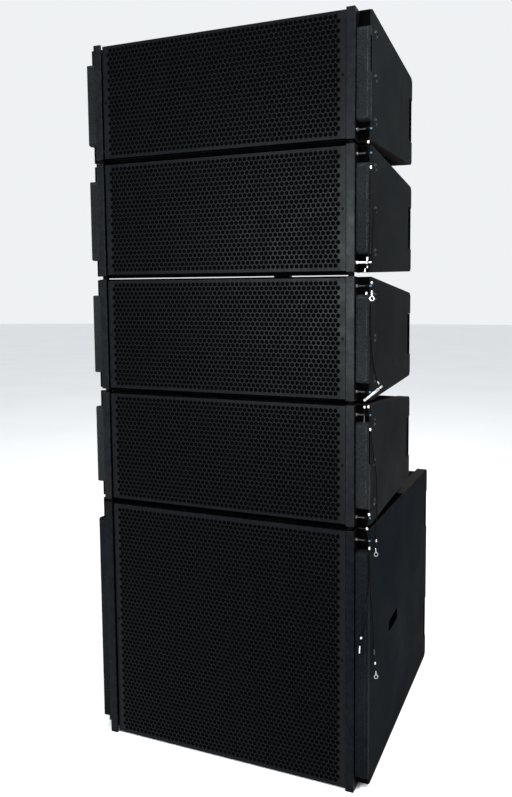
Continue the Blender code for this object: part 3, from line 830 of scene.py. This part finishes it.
def perforated_sheet(bm, y, edge_x, low, high, first_row, rows, flip):
    """One face of the sheet: staggered rows of round holes inside a plain border."""
    half = HOLE_PITCH / 2
    grid = {}

    def corner(k, z):
        key = (k, round(z, 6))
        if key not in grid:
            x = math.copysign(edge_x, k) if abs(k) == EDGE else k * half
            grid[key] = bm.verts.new((x, y, z))
        return grid[key]

    def face(points):
        bm.faces.new(list(reversed(points)) if flip else points)

    rims = []
    for row in range(rows):
        count = HOLES + row % 2
        middle = first_row + row * ROW_PITCH
        z0, z1 = middle - ROW_PITCH / 2, middle + ROW_PITCH / 2
        for n in range(count):
            k = 2 * n - count + 1
            rim = []
            for i in range(12):
                a = math.radians(30 * i)
                x = k * half + HOLE_RADIUS * math.cos(a)
                rim.append(bm.verts.new((x, y, middle + HOLE_RADIUS * math.sin(a))))
            face([corner(k, z1), rim[3], rim[2], rim[1], corner(k + 1, z1)])
            face([corner(k + 1, z1), rim[1], rim[0], rim[11], corner(k + 1, z0)])
            face([corner(k + 1, z0), rim[11], rim[10], rim[9], corner(k, z0)])
            face([corner(k, z0), rim[9], rim[8], rim[7], corner(k - 1, z0)])
            face([corner(k - 1, z0), rim[7], rim[6], rim[5], corner(k - 1, z1)])
            face([corner(k - 1, z1), rim[5], rim[4], rim[3], corner(k, z1)])
            rims.append(rim)
        for sign in (-1, 1):
            ends = [count * sign]
            if count == HOLES:
                ends.append((count + 1) * sign)
            ends.append(EDGE * sign)
            loop = [corner(k, z0) for k in ends] + [corner(k, z1) for k in reversed(ends)]
            face(loop if sign < 0 else list(reversed(loop)))
    top = first_row + (rows - 0.5) * ROW_PITCH
    bottom = first_row - 0.5 * ROW_PITCH
    last = HOLES + 1
    for z_in, z_out, turned in ((bottom, low, False), (top, high, True)):
        spots = [-EDGE, *range(-last, last + 1), EDGE]
        used = [k for k in spots if (k, round(z_in, 6)) in grid]
        for a, b in zip(used, used[1:]):
            loop = [corner(a, z_in), corner(b, z_in), corner(b, z_out), corner(a, z_out)]
            face(list(reversed(loop)) if turned else loop)
    return rims


def grille_mesh(kind):
    """Perforated front with its edges folded back; closed all round."""
    front, sheet, back, fold = GRILLE_FRONT, 0.0011, 0.0117, 0.0004
    rows = GRILLE_ROWS[kind]
    low, high = GRILLE_END, HEIGHT[kind] - GRILLE_END
    first = (low + high) / 2 - (rows - 1) / 2 * ROW_PITCH
    wide = GRILLE_HALF
    bm = bmesh.new()
    outer = perforated_sheet(bm, front, wide - fold, low + fold, high - fold, first, rows, False)
    inner = perforated_sheet(bm, front + sheet, wide - sheet, low + sheet, high - sheet, first, rows, True)
    for a, b in zip(outer, inner):
        for i in range(12):
            j = (i + 1) % 12
            bm.faces.new((a[i], a[j], b[j], b[i]))
    rims = {v for ring in outer + inner for v in ring}
    for y, steps in (
        (front, [(wide, front + fold, 0.0), (wide, back, 0.0)]),
        (front + sheet, [(wide - sheet, back, sheet)]),
    ):
        edges = [
            e
            for e in bm.edges
            if e.is_boundary and abs(e.verts[0].co.y - y) < 1e-7 and e.verts[0] not in rims
            and abs(e.verts[1].co.y - y) < 1e-7
        ]
        for half, depth, inset in steps:
            made = bmesh.ops.extrude_edge_only(bm, edges=edges)["geom"]
            verts = [g for g in made if isinstance(g, bmesh.types.BMVert)]
            centre = (low + high) / 2
            reach = (high - low) / 2 - inset
            now_x = max(abs(v.co.x) for v in verts)
            now_z = max(abs(v.co.z - centre) for v in verts)
            for v in verts:
                if abs(abs(v.co.x) - now_x) < 1e-6:
                    v.co.x = math.copysign(half, v.co.x)
                if abs(abs(v.co.z - centre) - now_z) < 1e-6:
                    v.co.z = centre + math.copysign(reach, v.co.z - centre)
                v.co.y = depth
            edges = [g for g in made if isinstance(g, bmesh.types.BMEdge) and g.is_boundary]
            edges = [e for e in edges if all(abs(v.co.y - depth) < 1e-7 for v in e.verts)]
    open_edges = [e for e in bm.edges if e.is_boundary]
    bmesh.ops.bridge_loops(bm, edges=open_edges)
    mesh = finish_mesh("grille", bm, [GRILLE_PAINT, BORDER_PAINT], 30.0)
    for face in mesh.polygons:
        if abs(face.center.x) > (HOLES + 1) / 2 * HOLE_PITCH:
            face.material_index = 1
    return mesh


# ---- drivers ------------------------------------------------------------------------------
def woofer_mesh(radius, hole, depth, steps):
    """Dust cap, ribbed cone, half roll surround, flange with bolts, basket and magnet."""
    bm = bmesh.new()
    edge = 0.0035
    cap = [(0.0, -0.13 * radius), (0.10 * radius, -0.135 * radius), (0.19 * radius, -0.165 * radius)]
    cap += [(0.255 * radius, -0.235 * radius), (0.262 * radius, -0.262 * radius)]
    cone = []
    for i in range(9):
        t = i / 8
        bulge = 0.018 * radius * math.sin(math.pi * t)
        cone.append(((0.27 + 0.50 * t) * radius, (-0.26 + 0.24 * t) * radius + bulge))
    roll = [
        (radius * (0.825 + 0.055 * math.cos(a)), radius * (-0.012 + 0.060 * math.sin(a)))
        for a in [math.pi - math.pi * i / 8 for i in range(9)]
    ]
    roll = [(r, min(z, edge * 1.2)) for r, z in roll]
    rest = [(0.895 * radius, edge * 0.5), (0.905 * radius, edge), (0.99 * radius, edge)]
    rest += [(radius, edge * 0.7), (radius, 0.0003), (hole - 0.0008, 0.0003)]
    rest += [(hole - 0.0008, -0.012), (0.60 * radius, -0.62 * depth), (0.60 * radius, -depth)]
    rest += [(0.0, -depth)]
    add_lathe(bm, cap + cone, steps, FRONT, 0)
    start = cone[-1]
    add_lathe(bm, [start, *roll], steps, FRONT, 1)
    add_lathe(bm, [roll[-1], *rest], steps, FRONT, 2)
    bmesh.ops.remove_doubles(bm, verts=bm.verts, dist=1e-6)
    for n in range(8):
        a = math.radians(22.5 + 45 * n)
        where = Matrix.Translation((0.95 * radius * math.cos(a), 0, 0.95 * radius * math.sin(a)))
        head = [(0.0, edge + 0.0018), (0.0024, edge + 0.0018), (0.0030, edge + 0.0010)]
        head += [(0.0030, edge - 0.0005), (0.0, edge - 0.0005)]
        add_lathe(bm, head, 10, where @ FRONT, 3)
    return finish_mesh("woofer", bm, [CONE, SURROUND, DARK_STEEL, SCREW_BLACK])


# ---- hardware -----------------------------------------------------------------------------
def add_button_screw(bm, where, radius, height, look=0):
    """Domed screw head with a round socket; where's Z axis points out of the surface."""
    socket, floor, under = radius * 0.42, height * 0.45, -0.0006
    turns = [math.radians(degrees) for degrees in (60, 42, 24, 8)]
    dome = [(radius * math.cos(a), height * math.sin(a)) for a in turns]
    profile = [(0.0, floor), (socket, floor), (socket, height * 0.93), *dome, (radius, under), (0.0, under)]
    add_lathe(bm, profile, 24, where, look)


def add_flat_screw(bm, where, radius, look):
    """Flat screw head with a small round recess."""
    profile = [(0.0, -0.0009), (radius * 0.30, -0.0009), (radius * 0.36, 0.0), (radius, 0.0002)]
    profile += [(radius * 1.02, -0.0002), (radius * 0.7, -0.0020), (0.0, -0.0020)]
    add_lathe(bm, profile, 20, where, look)


def cheek_screws_mesh(kind):
    """Button head screws that hold the cheeks, and the grille's side screws."""
    bm = bmesh.new()
    heights = (0.0320, 0.0960, 0.1600) if kind == "top" else ()
    for side, _ in SIDES:
        for z in heights:
            where = Matrix.Translation((side * HALF_WIDTH, 0.0350, z)) @ outward(side)
            add_button_screw(bm, where, 0.0060, 0.0020)
        middle = MID if kind == "top" else 0.2140
        where = Matrix.Translation((side * 0.2140, GRILLE_FRONT, middle)) @ FRONT
        add_flat_screw(bm, where, 0.0021, 1)
    return finish_mesh(f"{kind}_screws", bm, [SCREW_BLACK, SHADE_BLACK])


def pin_mesh(side, kind):
    """Front pin in absolute x: "button" is a quick release pin, "steel" bright, "flat" low."""
    bm = bmesh.new()
    turn = outward(side)
    tip = [(0.0031, 0.2226), (0.0022, 0.2211), (0.0, 0.2211)]
    looks = [OXIDE_STEEL, COLLAR_STEEL, BRIGHT_STEEL, BUTTON_BLUE, LINK_BLACK]
    if kind == "flat":
        head = [(0.0, 0.2366), (0.0016, 0.2366), (0.0020, 0.2377), (0.0035, 0.2377), (0.0040, 0.2372)]
        head += [(0.0040, 0.2350), (0.0031, 0.2350), *tip]
        add_lathe(bm, head, 24, turn, 0)
        return finish_mesh("pin", bm, looks)
    bright = kind == "steel"
    neck = 0.0020 if bright else 0.0017
    shaft_look, neck_look, head_look, knob_look = (2, 2, 2, 2) if bright else (1, 0, 4, 3)
    shaft = [(0.0, 0.2378), (0.0024, 0.2378), (0.0027, 0.2372), (0.0027, 0.2358), (0.0031, 0.2354)]
    add_lathe(bm, [*shaft, *tip], 24, turn, shaft_look)
    add_lathe(bm, [(0.0, 0.2497), (neck, 0.2497), (neck, 0.2377), (0.0, 0.2377)], 24, turn, neck_look)
    wide = 0.0021 if bright else 0.0032
    head = [(0.0, 0.2558), (0.0018, 0.2558), (wide - 0.0006, 0.2540), (wide - 0.0003, 0.2513)]
    head += [(wide - 0.0003, 0.2510), (wide, 0.2507), (wide, 0.2500), (wide - 0.0004, 0.2495), (0.0, 0.2495)]
    add_lathe(bm, head, 24, turn, head_look)
    knob = [(0.0, 0.2588), (0.0007, 0.2587), (0.0012, 0.2582), (0.0014, 0.2575), (0.0014, 0.2557)]
    add_lathe(bm, [*knob, (0.0, 0.2557)], 20, turn, knob_look)
    return finish_mesh("pin", bm, looks)


def link_mesh(side, reach):
    """Link bar that runs inside a rail, with an eye round each pin."""
    bm = bmesh.new()
    eye, waist = 0.0041, 0.0036
    edge = [(eye, 0.30), (waist, 0.36), (waist, 0.64), (eye, 0.70)]
    outline = [
        *arc((0, 0), eye, 180, 360, 12),
        *((y, reach * part) for y, part in edge),
        *arc((0, reach), eye, 0, 180, 12),
        *((-y, reach * part) for y, part in reversed(edge)),
    ]
    add_prism(bm, outline, *side_span(side, 0.2225, 0.2305))
    return finish_mesh("link", bm, [LINK_BLACK])


def rear_panel_mesh(kind):
    """Recessed connector plate with two round sockets and screws."""
    inset = LIP + BOARD + 0.0004
    if kind == "top":
        half = half_height(TOP_DEPTH) - inset
        low, high = MID - half, MID + half
    else:
        low, high = SUB_BOTTOM + inset, SUB_TOP - inset
    wide = 0.2095
    bm = bmesh.new()
    face = DEPTH[kind] - 0.0055
    add_prism(bm, rounded_box((-wide, low), (wide, high), 0.004), face - 0.0025, face, "y")
    middle = (low + high) / 2
    count = 5
    for n in range(count):
        x = -wide + 0.010 + (2 * wide - 0.020) * n / (count - 1)
        for z in (low + 0.008, high - 0.008):
            add_button_screw(bm, Matrix.Translation((x, face, z)) @ REAR, 0.0038, 0.0018, 1)
    plate_z = middle if kind == "top" else low + 0.085
    add_box(bm, (0.075, face - 0.0002, plate_z - 0.030), (0.170, face + 0.0016, plate_z + 0.030), 2)
    for x in (0.1000, 0.1450):
        ring = [(0.0130, 0.0016), (0.0145, 0.0034), (0.0160, 0.0034), (0.0168, 0.0026), (0.0168, 0.0)]
        bowl = [(0.0, 0.0016), (0.0060, 0.0016), (0.0060, 0.0030), (0.0085, 0.0030), (0.0085, 0.0008)]
        bowl += [(0.0126, 0.0008)]
        where = Matrix.Translation((x, face + 0.0010, plate_z)) @ REAR
        add_lathe(bm, [*bowl, *ring, (0.0, 0.0)], 40, where, 2)
        for dx in (-0.0125, 0.0125):
            for dz in (-0.0155, 0.0155):
                spot = Matrix.Translation((x + dx, face + 0.0016, plate_z + dz)) @ REAR
                add_button_screw(bm, spot, 0.0020, 0.0011, 1)
    return finish_mesh(f"{kind}_rear_panel", bm, [PANEL_PAINT, SCREW_BLACK, BLACK_PLASTIC])


def foot_mesh():
    bm = bmesh.new()
    profile = [(0.0, 0.0035), (0.0040, 0.0035), (0.0044, 0.0003), (0.0046, 0.0), (0.0142, 0.0)]
    profile += [(0.0152, 0.0008), (0.0168, 0.0096), (0.0162, 0.0103), (0.0, 0.0103)]
    add_lathe(bm, profile, 40, Matrix.Identity(4), 0)
    return finish_mesh("foot", bm, [RUBBER])


# ---- assembly -----------------------------------------------------------------------------
def carry(node, look, bevel):
    """Gives a CAD node that stays in view its material and softened edges."""
    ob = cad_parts[node]
    ob.data.materials.clear()
    ob.data.materials.append(look)
    soften(ob, bevel, 2, 40)


def cabinet_meshes(kind):
    return {
        "core": core_mesh(kind),
        "cheeks": cheeks_mesh(kind),
        "strips": strips_mesh(kind),
        "lips": lips_mesh(kind),
        "rails": rails_mesh(kind),
        "grille": grille_mesh(kind),
        "screws": cheek_screws_mesh(kind),
        "inserts": grip_inserts_mesh(kind),
        "foam": foam_mesh(kind),
        "panel": rear_panel_mesh(kind),
    }


def put_cabinet(meshes, prefix, cad, body, base):
    """Everything on a cabinet but its drivers. Its base is the height of its rails' lower ends."""
    at = (0, 0, base)
    core = put(f"{prefix}_core", meshes["core"], body, at, 0.0012)
    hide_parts(f"{cad}_cabinet")
    put(f"{prefix}_cheeks", meshes["cheeks"], body, at, 0.0018, 3)
    put(f"{prefix}_strips", meshes["strips"], body, at, 0.0014, 3)
    rails = put(f"{prefix}_rails", meshes["rails"], body, at, 0.0009, 3)
    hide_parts(f"{cad}_rail_left", f"{cad}_rail_right")
    put(f"{prefix}_lips", meshes["lips"], body, at)
    grille = put(f"{prefix}_grille_sheet", meshes["grille"], body, at)
    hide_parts(f"{cad}_grille")
    put(f"{prefix}_screws", meshes["screws"], body, at)
    put(f"{prefix}_grip_inserts", meshes["inserts"], body, at, 0.0006)
    put(f"{prefix}_foam", meshes["foam"], body, at)
    panel = put(f"{prefix}_connectors", meshes["panel"], body, at, 0.0004)
    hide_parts(f"{cad}_rear_panel")


def build_cabinets():
    meshes = cabinet_meshes("top")
    woofer = woofer_mesh(0.0740, 0.0660, 0.075, 56)
    for level in LEVELS:
        prefix, cad, body = f"array_{level}", f"top_{level}", f"level_{level}"
        base = level_base(level)
        put_cabinet(meshes, prefix, cad, body, base)
        carry(f"{cad}_horn", HORN_PLASTIC, 0.0012)
        for side, word in SIDES:
            where = (side * WOOFER_X, BAFFLE_FRONT, base + MID)
            driver = put(f"{prefix}_driver_{word}", woofer, body, where)
            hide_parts(f"{cad}_woofer_{word}")


def sub_top_shadow_mesh():
    """Thin black strips on top of the subwoofer's cheeks, under the lowest cabinet's front: painted shadow
    of that cabinet.
    """
    low, high = SUB_TOP + 0.0002, SUB_TOP + 0.0012
    outline = [
        (CHEEK_FRONT + 0.0030, low), (0.2120, low), (0.2110, high), (CHEEK_FRONT + 0.0036, high),
    ]
    bm = bmesh.new()
    for side, _ in SIDES:
        add_prism(bm, outline, *side_span(side, CHEEK_INNER + 0.0004, HALF_WIDTH - 0.0006))
    return finish_mesh("sub_top_strips", bm, [SHADE_BLACK])


def build_sub():
    put_cabinet(cabinet_meshes("sub"), "sub", "sub", "base", 0)
    # Painted shadow: black strips on the subwoofer's cheek tops under the lowest cabinet.
    put("sub_top_strips", sub_top_shadow_mesh(), "base")
    woofer = woofer_mesh(0.1880, 0.1760, 0.15, 80)
    driver = put("sub_driver", woofer, "base", (0, BAFFLE_FRONT, SUB_MID))
    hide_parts("sub_woofer")
    foot = foot_mesh()
    for side, word in SIDES:
        made = put(f"sub_pad_{word}", foot, "base", (side * 0.1900, 0.3700, 0))
        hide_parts(f"sub_foot_{word}")


def build_links():
    """Link bars, front pins and rear links at each of the four junctions."""
    pins = {(-1, "flat"): pin_mesh(-1, "flat")}
    pins.update({(1, kind): pin_mesh(1, kind) for kind in ("button", "steel")})
    for level in LEVELS:
        base = level_base(level)
        lower_body = "base" if level == 1 else f"level_{level - 1}"
        below = (SUB_HEIGHT if level == 1 else level_base(level - 1) + TOP_HEIGHT) - PIN_END
        reach = base + PIN_END - below
        for side, word in SIDES:
            where = (0, PIN_Y, below)
            bar = link_mesh(side, reach)
            link = put(f"link_bar_{word}_{level}", bar, lower_body, where, 0.0006)
            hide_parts(f"front_link_{word}_{level}")
            lower = "flat" if side < 0 else "button"
            put(f"lower_pin_{word}_{level}", pins[side, lower], lower_body, where)
            upper = "steel" if (side, level) == (1, 3) else lower
            mesh, body, where = pins[side, upper], f"pin_{word}_{level}", (0, PIN_Y, base + PIN_END)
            pin = put(f"upper_pin_{word}_{level}", mesh, body, where)
            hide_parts(f"front_pin_{word}_{level}")
        carry(f"rear_link_{level}", DARK_STEEL, 0.0012)


# ---- lanyards and small fittings ------------------------------------------------------------
CABLE = 0.0016


def smooth_route(points, step=0.0022):
    """Even points along a smooth curve through the given ones."""
    points = [Vector(p) for p in points]
    ends = [2 * points[0] - points[1], *points, 2 * points[-1] - points[-2]]
    dense = []
    for a, b, c, d in zip(ends, ends[1:], ends[2:], ends[3:]):
        for i in range(24):
            t = i / 24
            dense.append(
                0.5 * ((2 * b) + (c - a) * t + (2 * a - 5 * b + 4 * c - d) * t * t
                       + (3 * b - a - 3 * c + d) * t * t * t)
            )
    dense.append(points[-1])
    spans = [(b - a).length for a, b in zip(dense, dense[1:])]
    count = max(4, round(sum(spans) / step))
    pace = sum(spans) / count
    route, walked, n = [dense[0]], 0.0, 0
    for i in range(1, count):
        while walked + spans[n] < i * pace:
            walked += spans[n]
            n += 1
        t = (i * pace - walked) / spans[n]
        route.append(dense[n].lerp(dense[n + 1], t))
    route.append(dense[-1])
    return route


def lanyard(name, points, body, crosses=None):
    """A thin coated cable along points whose y is given from the rails' face."""
    route = smooth_route([(x, y + FACE_Y, z) for x, y, z in points])
    bm = bmesh.new()
    add_tube(bm, route, CABLE / 2, sides=10)
    ob = add_object(name, finish_mesh(name, bm, [CABLE_COAT], 60.0))
    if crosses:
        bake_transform(ob)
    else:
        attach(ob, body)


def pointing(start, end):
    """A turn and place whose Z axis runs from one point to another, and how far apart they are."""
    along = Vector(end) - Vector(start)
    turn = along.to_track_quat("Z", "Y").to_matrix().to_4x4()
    return Matrix.Translation(start) @ turn, along.length


def add_ferrule(bm, start, end, radius):
    """A crimped sleeve between two points, with rounded ends."""
    turn, length = pointing(start, end)
    soft = radius * 0.45
    profile = [(0.0, 0.0), (radius - soft, 0.0)]
    profile += arc((radius - soft, soft), soft, -60, 0, 3)
    profile += arc((radius - soft, length - soft), soft, 0, 60, 3)
    profile += [(radius - soft, length), (0.0, length)]
    add_lathe(bm, profile, 18, turn)


def fitting(name, body, *parts):
    """Small bright pieces: ferrules, rings and lugs, given with y from the rails' face."""
    bm = bmesh.new()
    for kind, *values in parts:
        if kind == "ferrule":
            add_ferrule(bm, *values)
        elif kind in ("strap", "dull"):
            start, end, radius = values
            add_tube(bm, [start, end], radius, 1 if kind == "strap" else 2, 10)
        elif kind == "ring":
            centre, degrees, major, minor = values
            turn = Matrix.Rotation(math.radians(degrees), 3, "Z") @ Matrix.Rotation(math.radians(90), 3, "Y")
            add_ring(bm, centre, turn, major, minor)
    mesh = finish_mesh(name, bm, [BRIGHT_STEEL, CABLE_COAT, COLLAR_STEEL], 40.0)
    return put(name, mesh, body)


def build_lanyards():
    """Each right-hand pin's lanyard and the bright fittings, from the top junction down."""
    top, third, first = (level_base(level) for level in (4, 3, 1))

    # Lanyards that hold a cabinet's lower quick release pin, from an eyelet higher up. Heights
    # are above the cabinet's base.
    routes = {
        3: [
            (0.2566, 0.0090, 0.1510), (0.2566, 0.0078, 0.1300), (0.2566, 0.0084, 0.1000),
            (0.2566, 0.0082, 0.0750), (0.2563, 0.0072, 0.0500), (0.2556, 0.0066, 0.0330),
            (0.2534, 0.0072, 0.0245),
        ],
        2: [
            (0.2566, 0.0114, 0.1400), (0.2566, 0.0106, 0.1200), (0.2566, 0.0104, 0.0950),
            (0.2566, 0.0100, 0.0700), (0.2566, 0.0092, 0.0450), (0.2566, 0.0082, 0.0260),
            (0.2560, 0.0078, 0.0188),
        ],
    }
    for level, route in routes.items():
        base = level_base(level)
        body, pin = f"level_{level}", f"pin_right_{level}"
        points = [(x, y, base + z) for x, y, z in route]
        crosses = (body, pin, (0, 0, base + 0.060), (0, 0, base + 0.032))
        lanyard(f"pin_lanyard_{level}", points, body, crosses)

    # Junction of levels 4 and 3: a short lanyard with its eyelets.
    lanyard(
        "top_lanyard",
        [
            (0.2530, 0.0104, top + 0.0112), (0.2548, 0.0092, top + 0.0060), (0.2552, 0.0040, top - 0.0010),
            (0.2548, 0.0010, top - 0.0066), (0.2544, 0.0036, top - 0.0140), (0.2544, 0.0066, top - 0.0220),
            (0.2556, 0.0080, top - 0.0320),
        ],
        "level_3",
    )
    fitting(
        "top_eyelets", "level_3",
        ("ferrule", (0.2550, 0.0006, top - 0.0088), (0.2552, 0.0006, top - 0.0046), 0.0018),
        ("ferrule", (0.2566, 0.0088, third + 0.1518), (0.2566, 0.0080, third + 0.1562), 0.0018),
    )

    # A second lanyard hangs from level 3's middle screw to the bright cross pin.
    lanyard(
        "cross_lanyard",
        [
            (0.2578, 0.0330, third + 0.0960), (0.2582, 0.0280, third + 0.0900),
            (0.2576, 0.0215, third + 0.0780), (0.2568, 0.0175, third + 0.0600),
            (0.2566, 0.0160, third + 0.0400), (0.2566, 0.0150, third + 0.0200),
            (0.2566, 0.0130, third + 0.0080),
        ],
        "level_3",
    )
    bar_y = PIN_Y - 0.0030
    fitting(
        "cross_pin_bar", "pin_right_3",
        ("ferrule", (0.2522, bar_y - 0.0006, third + 0.0116), (0.2528, bar_y, third + 0.0206), 0.0013),
        ("ferrule", (0.2528, bar_y, third + 0.0176), (0.2528, bar_y + 0.0004, third + 0.0222), 0.0019),
    )
    fitting(
        "cross_pin_lug", "level_3",
        ("ferrule", (0.2506, 0.0022, third + 0.0055), (0.2503, 0.0020, third - 0.0008), 0.0008),
        ("ferrule", (0.2530, 0.0038, third + 0.0058), (0.2534, 0.0042, third + 0.0090), 0.0011),
    )

    # Junction of levels 3 and 2: two eyelets and a ring below its lug.
    fitting(
        "second_eyelets", "level_2",
        ("ferrule", (0.2576, 0.0120, third - 0.0180), (0.2574, 0.0116, third - 0.0138), 0.0018),
        ("ferrule", (0.2516, 0.0040, third - 0.0340), (0.2520, 0.0044, third - 0.0298), 0.0018),
        ("ferrule", (0.2588, 0.0092, third - 0.0362), (0.2586, 0.0100, third - 0.0276), 0.0017),
        ("ring", (0.2592, 0.0086, third - 0.0396), -70, 0.0032, 0.0008),
    )

    # Junction of levels 2 and 1: a loose pin leans out of the gap on its own lanyard.
    turn, length = pointing((0.2496, 0.0022, 0.6306), (0.2640, 0.0460, 0.6480))
    bm = bmesh.new()
    # Radii along the pin, with how far along each is as a part of the pin's length.
    stations = [(0.0022, 0.45), (0.0026, 0.47), (0.0026, 0.78), (0.0020, 0.80), (0.0009, 0.81)]
    stations += [(0.0009, 0.86), (0.0018, 0.87), (0.0021, 0.95), (0.0016, 0.99), (0.0, 1.0)]
    profile = [(0.0, 0.0), (0.0016, 0.0), (0.0022, 0.0007)]
    profile += [(radius, length * part) for radius, part in stations]
    add_lathe(bm, profile, 24, turn)
    loose_pin = finish_mesh("loose_pin", bm, [BRIGHT_STEEL], 40.0)
    put("loose_pin", loose_pin, "level_2")
    loose_lug = fitting(
        "loose_pin_lug", "level_2",
        ("ferrule", (0.2606, 0.0412, 0.6514), (0.2580, 0.0400, 0.6560), 0.0013),
    )
    lanyard(
        "loose_pin_lanyard",
        [
            (0.2569, 0.0096, 0.7386), (0.2569, 0.0124, 0.7230), (0.2569, 0.0154, 0.7065),
            (0.2569, 0.0208, 0.6905), (0.2570, 0.0276, 0.6779), (0.2572, 0.0350, 0.6660),
            (0.2577, 0.0396, 0.6572),
        ],
        "level_2",
    )
    fitting(
        "first_eyelets", "level_1",
        ("ferrule", (0.2500, 0.0026, 0.6184), (0.2502, 0.0024, 0.6224), 0.0018),
        ("ferrule", (0.2562, 0.0026, 0.6192), (0.2564, 0.0024, 0.6232), 0.0018),
        ("strap", (0.2499, 0.0026, 0.6072), (0.2501, 0.0025, 0.6190), 0.0006),
        ("dull", (0.2496, 0.0026, 0.5962), (0.2498, 0.0026, 0.6078), 0.0008),
        ("ferrule", (0.2568, 0.0102, 0.5832), (0.2568, 0.0095, 0.5874), 0.0018),
        ("ferrule", (0.2566, 0.0066, first + 0.0184), (0.2566, 0.0072, first + 0.0226), 0.0018),
    )
    lanyard(
        "junction_lanyard",
        [
            (0.2564, 0.0026, 0.6190), (0.2563, 0.0054, 0.6110), (0.2564, 0.0084, 0.6020),
            (0.2566, 0.0098, 0.5950), (0.2568, 0.0098, 0.5880),
        ],
        "level_1",
    )
    ring_1 = fitting(
        "level_1_ring", "level_1",
        ("ferrule", (0.2577, 0.0384, 0.3986), (0.2577, 0.0386, 0.4026), 0.0017),
        ("strap", (0.2579, 0.0380, 0.3990), (0.2584, 0.0340, 0.3900), 0.0006),
        ("ferrule", (0.2588, 0.0352, 0.3824), (0.2584, 0.0342, 0.3902), 0.0008),
        ("ring", (0.2588, 0.0355, 0.3796), -70, 0.0030, 0.0006),
    )
    lanyard(
        "level_1_lanyard",
        [
            (0.2568, 0.0104, 0.5826), (0.2568, 0.0140, 0.5758), (0.2569, 0.0196, 0.5600),
            (0.2569, 0.0254, 0.5420), (0.2580, 0.0308, 0.5250), (0.2588, 0.0355, 0.5078),
            (0.2582, 0.0388, 0.4860), (0.2588, 0.0408, 0.4660), (0.2582, 0.0406, 0.4480),
            (0.2579, 0.0398, 0.4338), (0.2577, 0.0390, 0.4180), (0.2577, 0.0386, 0.4030),
        ],
        "level_1",
    )

    # Junction of level 1 and the subwoofer, and the two lanyards that hang down its corner.
    fitting(
        "sub_eyelets", "base",
        ("ferrule", (0.2536, 0.0030, 0.4342), (0.2550, 0.0040, 0.4302), 0.0018),
        ("ferrule", (0.2562, 0.0098, 0.3966), (0.2562, 0.0102, 0.4012), 0.0015),
    )
    lanyard(
        "sub_lanyard",
        [
            (0.2566, 0.0068, 0.4512), (0.2560, 0.0050, 0.4420), (0.2546, 0.0034, 0.4320),
            (0.2552, 0.0046, 0.4230), (0.2560, 0.0076, 0.4110), (0.2562, 0.0098, 0.4010),
        ],
        "base",
    )
    strip_pin = fitting(
        "strip_pin", "base",
        ("ferrule", (0.2459, 0.0020, 0.2556), (0.2461, 0.0020, 0.2596), 0.0017),
        ("ferrule", (0.2432, 0.0020, 0.2320), (0.2439, 0.0020, 0.2444), 0.0011),
        ("strap", (0.2438, 0.0020, 0.2440), (0.2459, 0.0020, 0.2560), 0.0006),
    )
    lanyard(
        "strip_lanyard",
        [
            (0.2561, 0.0098, 0.3972), (0.2562, 0.0108, 0.3790), (0.2563, 0.0102, 0.3440),
            (0.2562, 0.0062, 0.3290), (0.2550, 0.0024, 0.3150), (0.2522, 0.0021, 0.2950),
            (0.2491, 0.0020, 0.2746), (0.2461, 0.0020, 0.2598),
        ],
        "base",
    )
    side_ring = fitting(
        "side_ring", "base",
        ("ferrule", (0.2577, 0.0364, 0.1970), (0.2577, 0.0362, 0.2012), 0.0017),
        ("strap", (0.2578, 0.0366, 0.1974), (0.2586, 0.0380, 0.1850), 0.0006),
        ("ferrule", (0.2587, 0.0386, 0.1778), (0.2586, 0.0380, 0.1852), 0.0008),
        ("ring", (0.2588, 0.0388, 0.1750), -70, 0.0030, 0.0006),
    )
    lanyard(
        "side_lanyard",
        [
            (0.2568, 0.0120, 0.3966), (0.2568, 0.0126, 0.3714), (0.2568, 0.0136, 0.3441),
            (0.2568, 0.0186, 0.3183), (0.2568, 0.0264, 0.2838), (0.2570, 0.0306, 0.2507),
            (0.2572, 0.0330, 0.2203), (0.2577, 0.0362, 0.2012),
        ],
        "base",
    )
    fitting(
        "side_lanyard_crimp", "base",
        ("dull", (0.2572, 0.0321, 0.2246), (0.2573, 0.0334, 0.2150), 0.0011),
    )


# ---- studio -------------------------------------------------------------------------------
def area_light(name, location, target, size, energy, colour):
    data = bpy.data.lights.new(name, "AREA")
    data.shape = "RECTANGLE"
    data.size, data.size_y = size
    data.energy = energy
    data.color = colour
    light = add_object(name, data)
    light.location = location
    aim = Vector(target) - Vector(location)
    light.rotation_euler = aim.to_track_quat("-Z", "Y").to_euler()


def build_studio():
    bm = bmesh.new()
    bmesh.ops.create_circle(bm, cap_ends=True, segments=96, radius=40)
    floor = add_object("floor", finish_mesh("floor", bm, [plain_floor()]))
    floor.location.z = -0.0002
    world = bpy.data.worlds.new("studio")
    world.use_nodes = True
    back = world.node_tree.nodes["Background"]
    back.inputs["Color"].default_value = (0.94, 0.96, 0.98, 1.0)
    back.inputs["Strength"].default_value = 0.92
    bpy.context.scene.world = world
    area_light("softbox", (-0.9, -3.4, 1.05), (0.2, -0.2, 0.82), (1.2, 1.15), 178.0, (0.92, 0.99, 1.0))
    area_light("side", (1.35, -0.55, 2.1), (0.25, 0, 1.1), (0.7, 0.7), 66.0, (1.0, 1.0, 1.0))
    area_light("top", (0.1, -1.0, 2.7), (0, -0.2, 1.1), (1.4, 1.4), 34.0, (1.0, 1.0, 1.0))
    bpy.context.scene.view_settings.view_transform = "Standard"


build_cabinets()
build_sub()
build_links()
build_lanyards()
build_studio()

bpy.context.view_layer.update()
